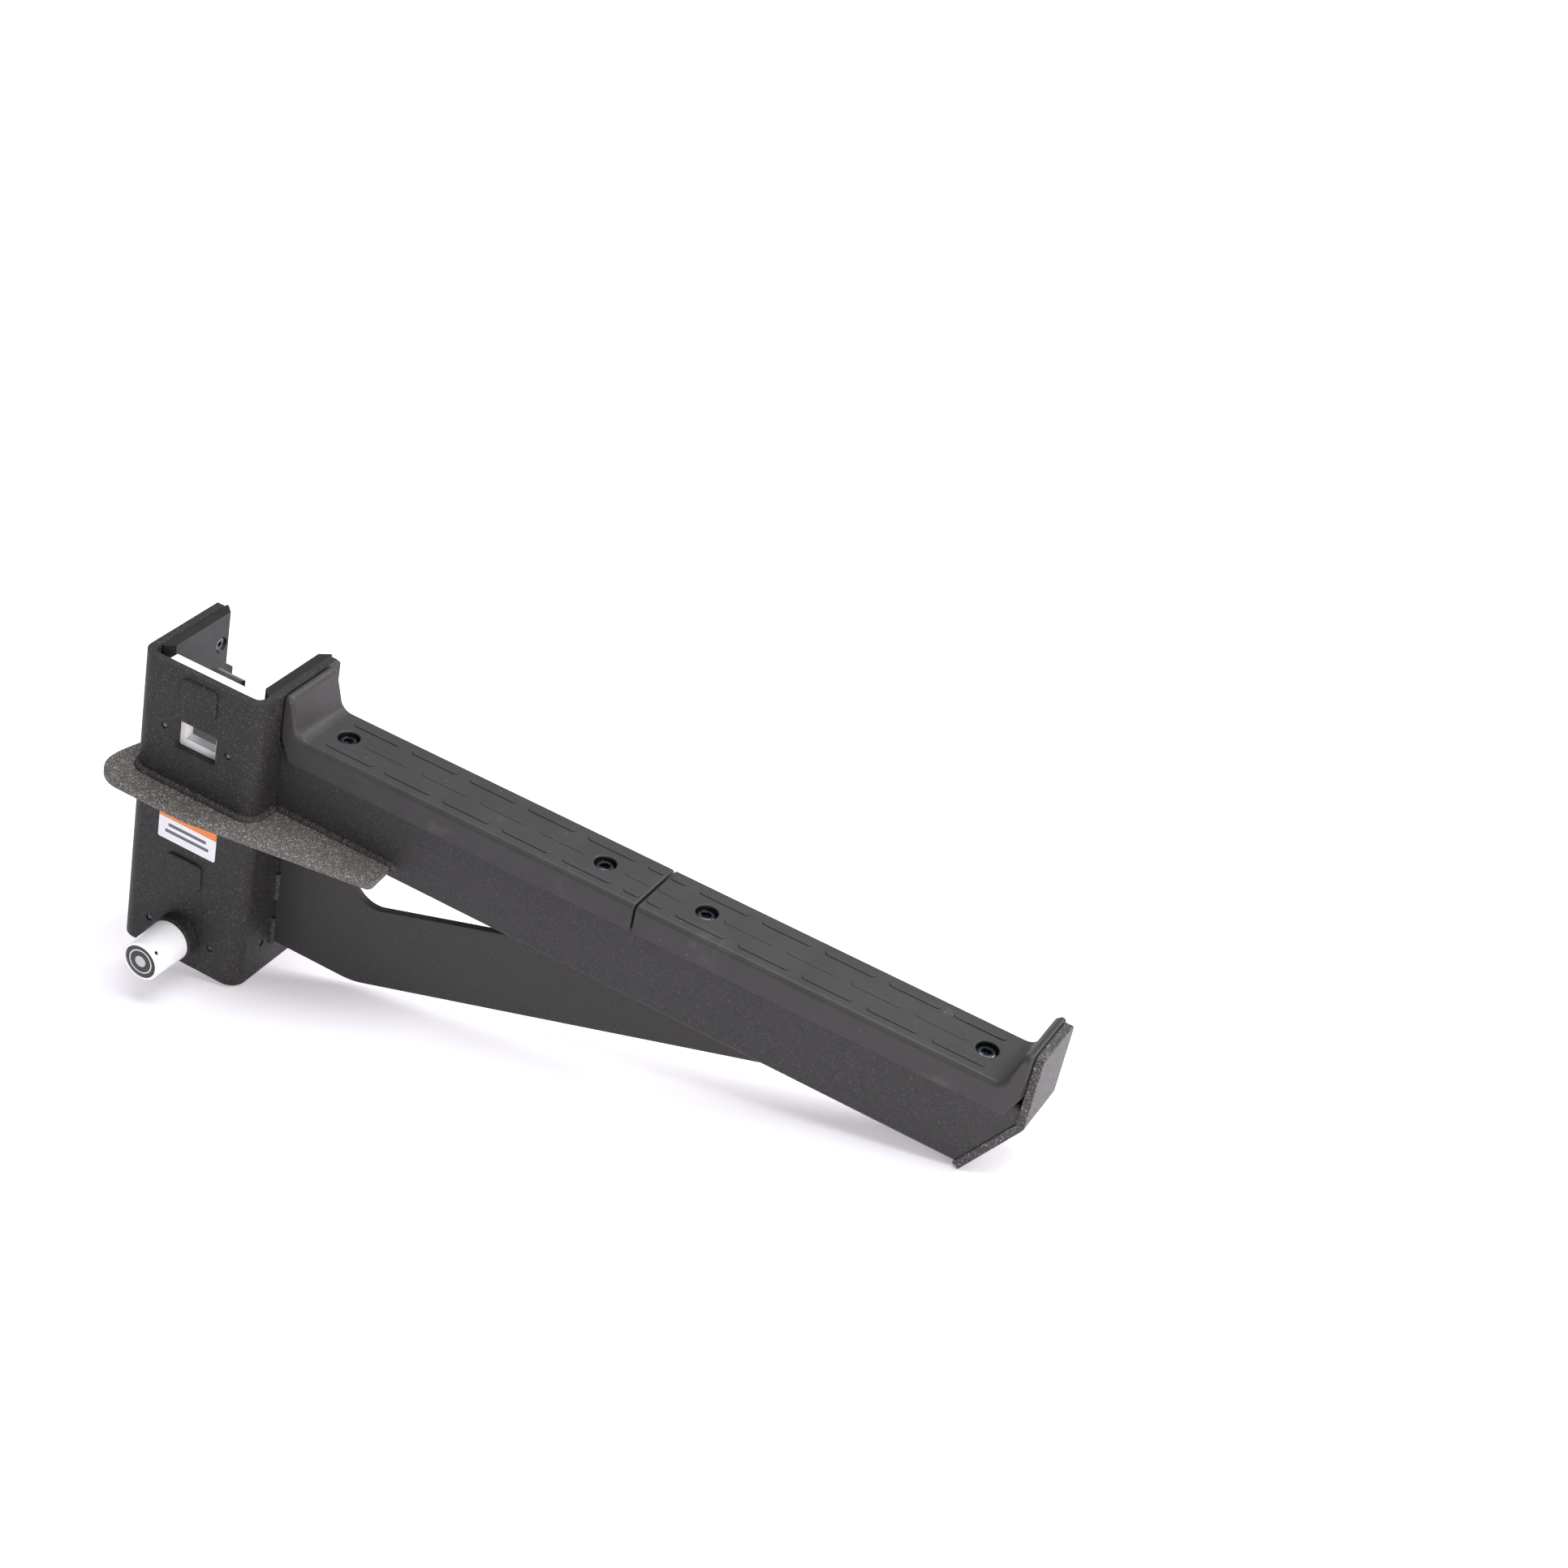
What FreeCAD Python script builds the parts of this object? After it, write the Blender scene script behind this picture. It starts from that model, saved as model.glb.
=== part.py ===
import FreeCAD, Part
import math
import os

import Sketcher
from FreeCAD import Placement, Rotation, Vector

# Bolt-on safety spotter arm for a square rack upright, in its in-use attitude.
# +Z runs up the upright, +X along the arm away from it, +Y towards the side
# that the upright enters from. The origin is on the upright's axis, at the
# height of the spring pin. Lengths are in millimetres.

DOCUMENT = "SpotterArm"
SHEET = "Sizes"
FOLDER = "parts"

# Every size that can be set by itself. Names are the sheet's aliases.
SIZES = {
    # upright and the channel that wraps it
    "upright_size": 76.2,
    "upright_gap": 0.75,
    "plate_thick": 6.35,
    "liner_thick": 8.0,
    "channel_height": 252.4,
    "channel_drop": 25.4,
    "bend_radius": 12.25,
    "flange_depth_top": 93.0,
    "flange_depth_mid": 105.5,
    "flange_depth_low": 100.0,
    "flange_taper_low": 191.0,
    "flange_taper_high": 201.0,
    "flange_step": 104.0,
    "flange_corner": 5.0,
    "window_width": 35.5,
    "window_height": 24.2,
    "window_level": 172.6,
    "window_corner": 2.0,
    # arm
    "arm_width": 48.8,
    "arm_height": 67.7,
    "arm_level": 114.9,
    "arm_wall": 4.8,
    "arm_corner": 4.0,
    "arm_reach": 589.65,
    "end_plate_rise": 43.0,
    "end_plate_corner": 5.0,
    "end_plate_margin": 1.2,
    "end_bend_height": 53.7,
    "end_setback": 34.2,
    # gussets
    "gusset_thick": 6.35,
    "gusset_offset": -8.0,
    "gusset_foot": -3.1,
    "gusset_flat": 73.0,
    "gusset_reach": 425.0,
    "gusset_tip": 2.5,
    "gusset_bend": 60.0,
    "opening_near": 38.0,
    "opening_far": 222.0,
    "opening_low_reach": 76.0,
    "opening_depth": 47.3,
    "opening_corner": 22.0,
    "wrap_level": 121.05,
    "wrap_side": 18.3,
    "wrap_front": 24.3,
    "wrap_front_corner": 24.0,
    "wrap_front_turn": 12.0,
    "wrap_side_turn": 7.2,
    "wrap_side_end": 77.2,
    "wrap_side_blunt": 2.3,
    "wrap_tail_reach": 103.8,
    "wrap_tail_lean": 2.5,
    "wrap_tail_width": 28.6,
    "bead_leg": 6.0,
    "stitch_leg": 5.0,
    "stitch_length": 26.0,
    "stitch_low": -5.2,
    "stitch_high": 36.0,
    # hooks
    "hook_pitch": 152.4,
    "hook_level": 57.2,
    "hook_width": 22.8,
    "hook_height": 22.0,
    "hook_throat": 6.65,
    "hook_steel": 12.7,
    "hook_cap_thick": 5.0,
    "hook_drop": 6.5,
    "hook_slope": 0.43,
    "hook_flat": 5.65,
    "hook_fit": 0.1,
    "tail_width": 31.0,
    "tail_height": 25.0,
    "tail_proud": 2.0,
    "tail_corner": 5.0,
    "tail_round": 1.6,
    "cap_screw_radius": 2.0,
    "cap_screw_length": 14.0,
    "cap_screw_head": 3.9,
    # liners
    "web_liner_width": 75.0,
    "web_liner_tall": 75.8,
    "web_liner_short": 49.0,
    "web_liner_corner": 6.0,
    "web_screw_spacing": 55.4,
    "web_screw_level": 174.1,
    "liner_hole_gap": 1.0,
    "liner_window_width": 26.0,
    "liner_window_low": 166.9,
    "liner_window_high": 186.6,
    "pin_window_width": 36.0,
    "pin_window_height": 25.4,
    "side_liner_height": 49.5,
    "side_liner_start": 2.2,
    "side_liner_inset": 2.0,
    "side_liner_bevel": 6.0,
    "side_liner_land": 1.5,
    "side_liner_drop": 0.5,
    "side_screw_rear": 13.0,
    "side_screw_front": 14.5,
    "liner_screw_radius": 2.5,
    "liner_screw_head": 5.0,
    "liner_screw_sink": 1.5,
    "screw_sink": 0.3,
    "liner_screw_short": 1.0,
    "screw_play": 0.1,
    # pads on the arm
    "pad_cover": 12.5,
    "pad_overlap": 10.0,
    "pad_side_gap": 0.3,
    "pad_end_gap": 0.3,
    "pad_side": 3.8,
    "pad_joint_gap": 1.6,
    "pad_bevel": 2.8,
    "upstand_thick": 6.0,
    "upstand_foot_thick": 15.0,
    "upstand_height": 31.0,
    "upstand_foot": 10.0,
    "upstand_corner": 5.0,
    "skirt_cut_length": 9.0,
    "skirt_cut_height": 20.0,
    "pad_bolt_end": 38.9,
    "pad_bolt_inner": 254.1,
    "recess_radius": 8.0,
    "recess_depth": 9.0,
    "pad_bolt_radius": 4.0,
    "pad_bolt_head": 6.5,
    "pad_bolt_head_height": 5.0,
    "pad_bolt_socket": 5.8,
    "washer_radius": 7.7,
    "washer_thick": 1.6,
    "nut_across": 13.0,
    "nut_thick": 6.5,
    # spring pin
    "pin_radius": 4.75,
    "guide_step": 0.25,
    "pin_reach": 19.25,
    "pin_nose": 1.2,
    "pin_running": 0.05,
    "shoulder_radius": 7.0,
    "shoulder_thick": 2.5,
    "stem_radius": 4.0,
    "stem_length": 42.4,
    "housing_collar_radius": 17.3,
    "housing_collar_height": 10.0,
    "housing_neck_radius": 11.0,
    "housing_fit": 0.05,
    "housing_nose": 5.85,
    "housing_barrel": 25.8,
    "housing_wall": 3.0,
    "bushing_length": 10.0,
    "stem_play": 0.3,
    "seat_gap": 0.05,
    "thrust_radius": 7.6,
    "thrust_thick": 1.2,
    "spring_radius": 6.2,
    "spring_wire": 0.6,
    "spring_turns": 8.0,
    "knob_gap": 0.3,
    "knob_base_radius": 16.5,
    "knob_end_radius": 15.6,
    "knob_length": 34.7,
    "knob_round": 1.5,
    "knob_cavity_gap": 0.6,
    "knob_end_wall": 7.2,
    "badge_radius": 13.4,
    "badge_thick": 1.5,
    "badge_recess": 1.8,
    "badge_gap": 0.2,
    "set_screw_radius": 1.5,
    "set_screw_setback": 4.4,
    "set_screw_sink": 1.0,
    "set_screw_turn": 47.0,
    # stickers
    "sticker_thick": 0.3,
    "sticker_width": 51.0,
    "sticker_height": 25.4,
    "sticker_level": 78.6,
    "decal_start": 31.5,
    "decal_length": 139.0,
    "decal_height": 27.7,
    "decal_level": 15.7,
}

doc = FreeCAD.newDocument(DOCUMENT)
sheet = doc.addObject("Spreadsheet::Sheet", SHEET)
sheet.Label = SHEET


class Size:
    """A length with the formula that ties it to the sheet, and its present value."""

    def __init__(self, formula, value):
        self.formula = formula
        self.value = value

    def __float__(self):
        return self.value

    def __add__(self, other):
        return Size(f"({self.formula} + {formula_of(other)})", self.value + float(other))

    def __radd__(self, other):
        return self + other

    def __sub__(self, other):
        return Size(f"({self.formula} - {formula_of(other)})", self.value - float(other))

    def __rsub__(self, other):
        return Size(f"({formula_of(other)} - {self.formula})", float(other) - self.value)

    def __mul__(self, other):
        return Size(f"({self.formula} * {formula_of(other)})", self.value * float(other))

    def __rmul__(self, other):
        return self * other

    def __truediv__(self, other):
        return Size(f"({self.formula} / {formula_of(other)})", self.value / float(other))

    def __neg__(self):
        return 0 - self


def formula_of(length):
    """The expression text of a Size or of a plain number."""
    return length.formula if isinstance(length, Size) else repr(float(length))


def root(square):
    """Square root of a Size."""
    return Size(f"sqrt({square.formula})", math.sqrt(square.value))


class Sizes:
    """The sheet's cells, each read by its alias."""

    def __init__(self, cells):
        for row, (alias, value) in enumerate(cells.items(), start=1):
            sheet.set(f"A{row}", alias.replace("_", " "))
            sheet.set(f"B{row}", str(value))
            sheet.setAlias(f"B{row}", alias)
            setattr(self, alias, Size(f"{SHEET}.{alias}", value))


s = Sizes(SIZES)
doc.recompute()

nodes = []


# ---------------------------------------------------------------- modelling helpers

def keep(node):
    """Put a finished sub-part on the list that is written out."""
    nodes.append(node)
    return node


def tie(thing, prop, length):
    """Bind a property to the sheet."""
    thing.setExpression(prop, formula_of(length))


def new_body(label):
    """An empty PartDesign body with its own label."""
    body = doc.addObject("PartDesign::Body", label)
    body.Label = label
    return keep(body)


def origin_plane(body, role):
    """One of the body's own origin planes, found by its role."""
    return next(f for f in body.Origin.OriginFeatures if f.Role == role)


def sketch_on(body, role, level, loops=(), circles=()):
    """Closed straight-sided loops and circles, every point tied to the sheet.

    level is the plane's distance from the origin along the plane's own normal.
    """
    sketch = body.newObject("Sketcher::SketchObject", f"{body.Label}_outline")
    sketch.AttachmentSupport = [(origin_plane(body, role), "")]
    sketch.MapMode = "FlatFace"
    tie(sketch, ".AttachmentOffset.Base.z", level)
    ties = []
    for loop in loops:
        first = sketch.GeometryCount
        points = [Vector(float(h), float(v), 0) for h, v in loop]
        count = len(points)
        for i, point in enumerate(points):
            sketch.addGeometry(Part.LineSegment(point, points[(i + 1) % count]), False)
        for i in range(count):
            after = first + (i + 1) % count
            sketch.addConstraint(Sketcher.Constraint("Coincident", first + i, 2, after, 1))
        ties += [(first + i, 1, h, v) for i, (h, v) in enumerate(loop)]
    for h, v, radius in circles:
        centre = Vector(float(h), float(v), 0)
        ring = sketch.addGeometry(Part.Circle(centre, Vector(0, 0, 1), float(radius)), False)
        number = sketch.addConstraint(Sketcher.Constraint("Radius", ring, float(radius)))
        tie(sketch, f"Constraints[{number}]", radius)
        ties.append((ring, 3, h, v))
    for part_of_sketch, corner, h, v in ties:
        for kind, length in (("DistanceX", h), ("DistanceY", v)):
            rule = Sketcher.Constraint(kind, -1, 1, part_of_sketch, corner, float(length))
            number = sketch.addConstraint(rule)
            tie(sketch, f"Constraints[{number}]", length)
    return sketch


def pad(body, sketch, length, midplane=False, reverse=False):
    """Raise a sketch into a solid."""
    feature = body.newObject("PartDesign::Pad", f"{body.Label}_pad")
    feature.Profile = sketch
    tie(feature, "Length", length)
    feature.Midplane = midplane
    feature.Reversed = reverse
    sketch.Visibility = False
    doc.recompute()
    return feature


def cut(body, sketch, length, one_way=False):
    """Cut a sketch out of the solid, to both sides of its plane or along its normal only."""
    before = body.Shape.Volume
    feature = body.newObject("PartDesign::Pocket", f"{body.Label}_cut")
    feature.Profile = sketch
    feature.Midplane = not one_way
    feature.Reversed = one_way
    tie(feature, "Length", length)
    doc.recompute()
    if not body.Shape.Volume < before:
        raise RuntimeError(f"{feature.Label} cuts nothing")
    return feature


def turned(body, profile, role="XY_Plane", axis="V_Axis"):
    """Revolve a (radius, height) profile about the body's own axis."""
    sketch = sketch_on(body, role, 0, [profile])
    feature = body.newObject("PartDesign::Revolution", f"{body.Label}_turned")
    feature.Profile = sketch
    feature.ReferenceAxis = (sketch, [axis])
    feature.Angle = 360
    doc.recompute()
    return feature


def edges_near(shape, points):
    """Names of the edges that pass through the given points."""
    names = []
    for point in points:
        spot = Part.Vertex(Vector(*[float(c) for c in point]))
        gaps = [edge.distToShape(spot)[0] for edge in shape.Edges]
        name = f"Edge{gaps.index(min(gaps)) + 1}"
        if name not in names:
            names.append(name)
    return names


def dress(body, kind, size, points):
    """Fillet or chamfer the edges that pass through the given points."""
    base = body.Tip
    names = edges_near(base.Shape, points)
    feature = body.newObject(f"PartDesign::{kind}", f"{body.Label}_{kind.lower()}")
    feature.Base = (base, names)
    tie(feature, "Radius" if kind == "Fillet" else "Size", size)
    doc.recompute()
    if feature.Shape.isNull() or not feature.isValid():
        raise RuntimeError(f"{feature.Label} did not build")
    return feature


def box_loop(left, low, right, high):
    """The four corners of an upright rectangle."""
    return [(left, low), (right, low), (right, high), (left, high)]


def group(label, shapes):
    """Separate solids that share one node, such as a set of equal screws."""
    node = doc.addObject("Part::Feature", label)
    node.Label = label
    node.Shape = Part.makeCompound(shapes)
    node.Placement = Placement()
    return keep(node)


def placed(shape, position, direction):
    """A copy of a fastener drawn along +Z from the origin, turned and moved."""
    copy = shape.copy()
    turn = Rotation(Vector(0, 0, 1), Vector(*direction))
    copy.Placement = Placement(Vector(*[float(c) for c in position]), turn)
    return copy


def hexagon(across, depth):
    """A hexagonal prism from the origin up +Z, measured across its flats."""
    reach = float(across) / math.sqrt(3)
    turns = [math.radians(60 * i) for i in range(7)]
    corners = [Vector(reach * math.cos(a), reach * math.sin(a), 0) for a in turns]
    return Part.Face(Part.makePolygon(corners)).extrude(Vector(0, 0, float(depth)))


# ---------------------------------------------------------------- shared places

HALF_OPENING = s.upright_size / 2 + s.upright_gap
HALF_INSIDE = HALF_OPENING + s.liner_thick
HALF_OUTSIDE = HALF_INSIDE + s.plate_thick
WEB_MIDDLE = (HALF_INSIDE + HALF_OUTSIDE) / 2
CHANNEL_LOW = -s.channel_drop
CHANNEL_TOP = CHANNEL_LOW + s.channel_height
DEPTH_TOP = s.flange_depth_top - HALF_OUTSIDE
DEPTH_MID = s.flange_depth_mid - HALF_OUTSIDE
DEPTH_LOW = s.flange_depth_low - HALF_OUTSIDE
TAPER_LOW = CHANNEL_LOW + s.flange_taper_low
TAPER_HIGH = CHANNEL_LOW + s.flange_taper_high
STEP = CHANNEL_LOW + s.flange_step
HALF_ARM = s.arm_width / 2
HALF_END_PLATE = HALF_ARM + s.end_plate_margin
ARM_TOP = s.arm_level + s.arm_height
ARM_END = HALF_OUTSIDE + s.arm_reach
BEND_LEVEL = s.arm_level + s.end_bend_height
WRAP_TOP = s.wrap_level + s.gusset_thick
HOOK_LEVELS = {"lower": s.hook_level, "upper": s.hook_level + s.hook_pitch}
PAD_TOP = ARM_TOP + s.pad_cover
HALF_PAD = HALF_ARM + s.pad_side_gap + s.pad_side
SIDE_LINER_BACK = s.side_liner_start - HALF_OPENING
WEB_SCREW = s.web_screw_spacing / 2
SCREW_HOLE = s.liner_screw_radius + s.screw_play
BOLT_HOLE = s.pad_bolt_radius + s.screw_play
PAST = 20.0


def side_liner_place(where):
    """Front edge and middle height of the side liners at one end of the channel."""
    if where == "upper":
        return DEPTH_TOP - s.side_liner_inset, CHANNEL_TOP - s.side_liner_drop - s.side_liner_height / 2
    return DEPTH_LOW - s.side_liner_drop, CHANNEL_LOW + s.side_liner_inset + s.side_liner_height / 2


def side_screws():
    """(y, z) of every screw that holds a side liner to its flange."""
    places = []
    for where in ("upper", "lower"):
        front, level = side_liner_place(where)
        places.append((SIDE_LINER_BACK + s.side_screw_rear, level))
        places.append((front - s.side_screw_front, level))
    return places


def web_screws():
    """(x, z) of every screw that holds a web liner."""
    return [(side * WEB_SCREW, level) for level in (s.web_screw_level, 0 * s.web_screw_level) for side in (-1, 1)]


def pad_bolts():
    """Distance along X of the four pad bolts."""
    near = [HALF_OUTSIDE + s.pad_bolt_end, HALF_OUTSIDE + s.pad_bolt_inner]
    far = [ARM_END - s.pad_bolt_inner, ARM_END - s.pad_bolt_end]
    return near + far


# ---------------------------------------------------------------- steel frame

def build_channel():
    """Bent channel: a web and two flanges with shaped free edges."""
    body = new_body("upright_channel")
    section = [
        (-HALF_OUTSIDE, -HALF_OUTSIDE),
        (HALF_OUTSIDE, -HALF_OUTSIDE),
        (HALF_OUTSIDE, DEPTH_MID),
        (HALF_INSIDE, DEPTH_MID),
        (HALF_INSIDE, -HALF_INSIDE),
        (-HALF_INSIDE, -HALF_INSIDE),
        (-HALF_INSIDE, DEPTH_MID),
        (-HALF_OUTSIDE, DEPTH_MID),
    ]
    pad(body, sketch_on(body, "XY_Plane", CHANNEL_LOW, [section]), s.channel_height)
    outer = [(side * HALF_OUTSIDE, -HALF_OUTSIDE, 0) for side in (-1, 1)]
    dress(body, "Fillet", s.bend_radius, outer)
    inner = [(side * HALF_INSIDE, -HALF_INSIDE, 0) for side in (-1, 1)]
    dress(body, "Fillet", s.bend_radius - s.plate_thick, inner)
    past = DEPTH_MID + PAST
    above = [
        (DEPTH_TOP, CHANNEL_TOP + PAST),
        (past, CHANNEL_TOP + PAST),
        (past, TAPER_LOW),
        (DEPTH_MID, TAPER_LOW),
        (DEPTH_TOP, TAPER_HIGH),
    ]
    below = box_loop(DEPTH_LOW, CHANNEL_LOW - PAST, past, STEP)
    wide = 2 * HALF_OUTSIDE + PAST
    cut(body, sketch_on(body, "YZ_Plane", 0, [above, below]), wide)
    sides = (-WEB_MIDDLE, WEB_MIDDLE)
    dress(body, "Chamfer", s.flange_corner, [(x, DEPTH_TOP, CHANNEL_TOP) for x in sides])
    dress(body, "Fillet", s.flange_corner, [(x, DEPTH_LOW, CHANNEL_LOW) for x in sides])
    holes = [(y, z, SCREW_HOLE) for y, z in side_screws()]
    cut(body, sketch_on(body, "YZ_Plane", 0, circles=holes), wide)
    half_window = s.window_width / 2
    window_low = s.window_level - s.window_height / 2
    window_high = s.window_level + s.window_height / 2
    loops = [box_loop(-half_window, window_low, half_window, window_high)]
    half_hook = s.hook_width / 2 + s.hook_fit
    rise = s.hook_height / 2 + s.hook_fit
    for level in HOOK_LEVELS.values():
        loops.append(box_loop(-half_hook, level - rise, half_hook, level + rise))
    circles = [(x, z, SCREW_HOLE) for x, z in web_screws()]
    circles.append((0 * half_hook, 0 * half_hook, s.housing_neck_radius + s.housing_fit))
    web = sketch_on(body, "XZ_Plane", WEB_MIDDLE, loops, circles)
    cut(body, web, s.plate_thick + 2)
    corners = [(x, -WEB_MIDDLE, z) for x in (-half_window, half_window) for z in (window_low, window_high)]
    dress(body, "Fillet", s.window_corner, corners)


def end_profile():
    """Inner and outer lines of the bent end plate, from its top down, as (x, z)."""
    slant = root(s.end_setback * s.end_setback + s.end_bend_height * s.end_bend_height)
    bite = s.plate_thick * (slant - s.end_bend_height) / s.end_setback
    out_x = s.plate_thick * s.end_bend_height / slant
    out_z = s.plate_thick * s.end_setback / slant
    top = ARM_TOP + s.end_plate_rise
    inner = [(ARM_END, top), (ARM_END, BEND_LEVEL), (ARM_END - s.end_setback, s.arm_level)]
    outer = [
        (ARM_END + s.plate_thick, top),
        (ARM_END + s.plate_thick, BEND_LEVEL - bite),
        (ARM_END - s.end_setback + out_x, s.arm_level - out_z),
    ]
    return inner, outer


def build_arm():
    """Rectangular tube from the flange to the end plate."""
    body = new_body("arm_tube")
    loop = box_loop(-HALF_ARM, s.arm_level, HALF_ARM, ARM_TOP)
    pad(body, sketch_on(body, "YZ_Plane", HALF_OUTSIDE, [loop]), s.arm_reach)
    middle = HALF_OUTSIDE + s.arm_reach / 2
    long_edges = [(middle, y, z) for y in (-HALF_ARM, HALF_ARM) for z in (s.arm_level, ARM_TOP)]
    dress(body, "Fillet", s.arm_corner, long_edges)
    wall = s.arm_wall
    hollow = box_loop(wall - HALF_ARM, s.arm_level + wall, HALF_ARM - wall, ARM_TOP - wall)
    cut(body, sketch_on(body, "YZ_Plane", middle, [hollow]), s.arm_reach + PAST)
    past = ARM_END + PAST
    mitre = [
        (ARM_END, BEND_LEVEL),
        (ARM_END - s.end_setback, s.arm_level),
        (ARM_END - s.end_setback, s.arm_level - PAST),
        (past, s.arm_level - PAST),
        (past, BEND_LEVEL),
    ]
    cut(body, sketch_on(body, "XZ_Plane", 0, [mitre]), s.arm_width + PAST)
    holes = [(x, 0 * x, BOLT_HOLE) for x in pad_bolts()]
    cut(body, sketch_on(body, "XY_Plane", ARM_TOP - wall / 2, circles=holes), wall + 2)


def build_end_plate():
    """Bent plate that closes the arm's tip and stops a bar from rolling off."""
    body = new_body("end_plate")
    inner, outer = end_profile()
    pad(body, sketch_on(body, "XZ_Plane", 0, [inner + outer[::-1]]), 2 * HALF_END_PLATE, midplane=True)
    dress(body, "Fillet", s.plate_thick, [(outer[1][0], 0, outer[1][1])])
    top = inner[0][1]
    middle = ARM_END + s.plate_thick / 2
    dress(body, "Fillet", s.end_plate_corner, [(middle, y, top) for y in (-HALF_END_PLATE, HALF_END_PLATE)])


def build_lower_gusset():
    """Upright brace plate below the arm, with a rounded triangular opening."""
    body = new_body("lower_gusset")
    tip = HALF_OUTSIDE + s.gusset_reach
    bend = HALF_OUTSIDE + s.gusset_flat
    pit = (HALF_OUTSIDE + s.opening_low_reach, s.arm_level - s.opening_depth)
    outline = [
        (HALF_OUTSIDE, s.gusset_foot),
        (bend, s.gusset_foot),
        (tip, s.arm_level - s.gusset_tip),
        (tip, s.arm_level),
        (HALF_OUTSIDE + s.opening_far, s.arm_level),
        pit,
        (HALF_OUTSIDE + s.opening_near, s.arm_level),
        (HALF_OUTSIDE, s.arm_level),
    ]
    sketch = sketch_on(body, "XZ_Plane", -s.gusset_offset, [outline])
    pad(body, sketch, s.gusset_thick, midplane=True)
    dress(body, "Fillet", s.opening_corner, [(pit[0], s.gusset_offset, pit[1])])
    dress(body, "Fillet", s.gusset_bend, [(bend, s.gusset_offset, s.gusset_foot)])


def build_wrap_gusset():
    """Flat plate round the web, from the free flange to the arm's side."""
    body = new_body("wrap_gusset")
    side = -(HALF_OUTSIDE + s.wrap_side)
    front = -(HALF_OUTSIDE + s.wrap_front)
    tail_end = HALF_OUTSIDE + s.wrap_tail_reach
    side_end = s.wrap_side_end - HALF_OUTSIDE
    outline = [
        (-HALF_OUTSIDE, side_end),
        (-HALF_OUTSIDE - s.wrap_side_blunt, side_end),
        (side, s.wrap_side_turn - HALF_OUTSIDE),
        (side, front),
        (s.wrap_front_turn, front),
        (tail_end, -HALF_ARM - s.wrap_tail_width),
        (tail_end - s.wrap_tail_lean, -HALF_ARM),
        (HALF_OUTSIDE, -HALF_ARM),
        (HALF_OUTSIDE, -HALF_OUTSIDE),
        (-HALF_OUTSIDE, -HALF_OUTSIDE),
    ]
    pad(body, sketch_on(body, "XY_Plane", s.wrap_level, [outline]), s.gusset_thick)
    level = s.wrap_level + s.gusset_thick / 2
    hug = [(x, -HALF_OUTSIDE, level) for x in (-HALF_OUTSIDE, HALF_OUTSIDE)]
    dress(body, "Fillet", s.bend_radius - s.pad_side_gap, hug)
    dress(body, "Fillet", s.wrap_front_corner, [(side, front, level)])
    turns = [(s.wrap_front_turn, front, level), (side, s.wrap_side_turn - HALF_OUTSIDE, level)]
    dress(body, "Fillet", s.gusset_bend, turns)
    dress(body, "Fillet", s.flange_corner, [(tail_end, -HALF_ARM - s.wrap_tail_width, level)])


def bead_face(corner, away, up):
    """Triangle of a fillet weld: its root corner and its two toes."""
    points = [corner, corner + away, corner + up, corner]
    return Part.Face(Part.makePolygon(points))


def build_weld_beads():
    """Fillet welds: one along the top of the wrap gusset, four stitches on the brace."""
    outside, radius, leg = float(HALF_OUTSIDE), float(s.bend_radius), float(s.bead_leg)
    top, half_arm = float(WRAP_TOP), float(HALF_ARM)
    up = Vector(0, 0, leg)
    run = 2 * (outside - radius)
    web = bead_face(Vector(radius - outside, -outside, top), Vector(0, -leg, 0), up)
    bead = web.extrude(Vector(run, 0, 0))
    for side, turn in ((1, 90), (-1, -90)):
        centre = Vector(side * (outside - radius), radius - outside, 0)
        start = bead_face(Vector(centre.x, -outside, top), Vector(0, -leg, 0), up)
        bead = bead.fuse(start.revolve(centre, Vector(0, 0, 1), turn))
    flange = bead_face(Vector(outside, radius - outside, top), Vector(leg, 0, 0), up)
    bead = bead.fuse(flange.extrude(Vector(0, outside - radius - half_arm, 0)))
    arm = bead_face(Vector(outside, -half_arm, top), Vector(0, -leg, 0), up)
    tail = float(s.wrap_tail_reach - s.wrap_tail_lean)
    bead = bead.fuse(arm.extrude(Vector(tail, 0, 0)))
    beads = [bead.removeSplitter()]
    stitch_leg, middle = float(s.stitch_leg), float(s.gusset_offset)
    for side in (-1, 1):
        seam = middle + side * float(s.gusset_thick) / 2
        for level in (s.stitch_low, s.stitch_high):
            root_corner = Vector(outside, seam, float(level))
            face = bead_face(root_corner, Vector(stitch_leg, 0, 0), Vector(0, side * stitch_leg, 0))
            beads.append(face.extrude(Vector(0, 0, float(s.stitch_length))))
    group("weld_beads", beads)


# ---------------------------------------------------------------- hooks

HOOK_BACK = s.hook_throat - HALF_OPENING
HOOK_FACE = HOOK_BACK + s.hook_steel
CAP_FACE = HOOK_FACE + s.hook_cap_thick
HOOK_TURN = s.hook_flat - HALF_OPENING


def hook_top(level, depth):
    """Height of the hook's sloping top at a given depth."""
    return level + s.hook_height / 2 - s.hook_slope * (depth - HOOK_TURN)


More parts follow.
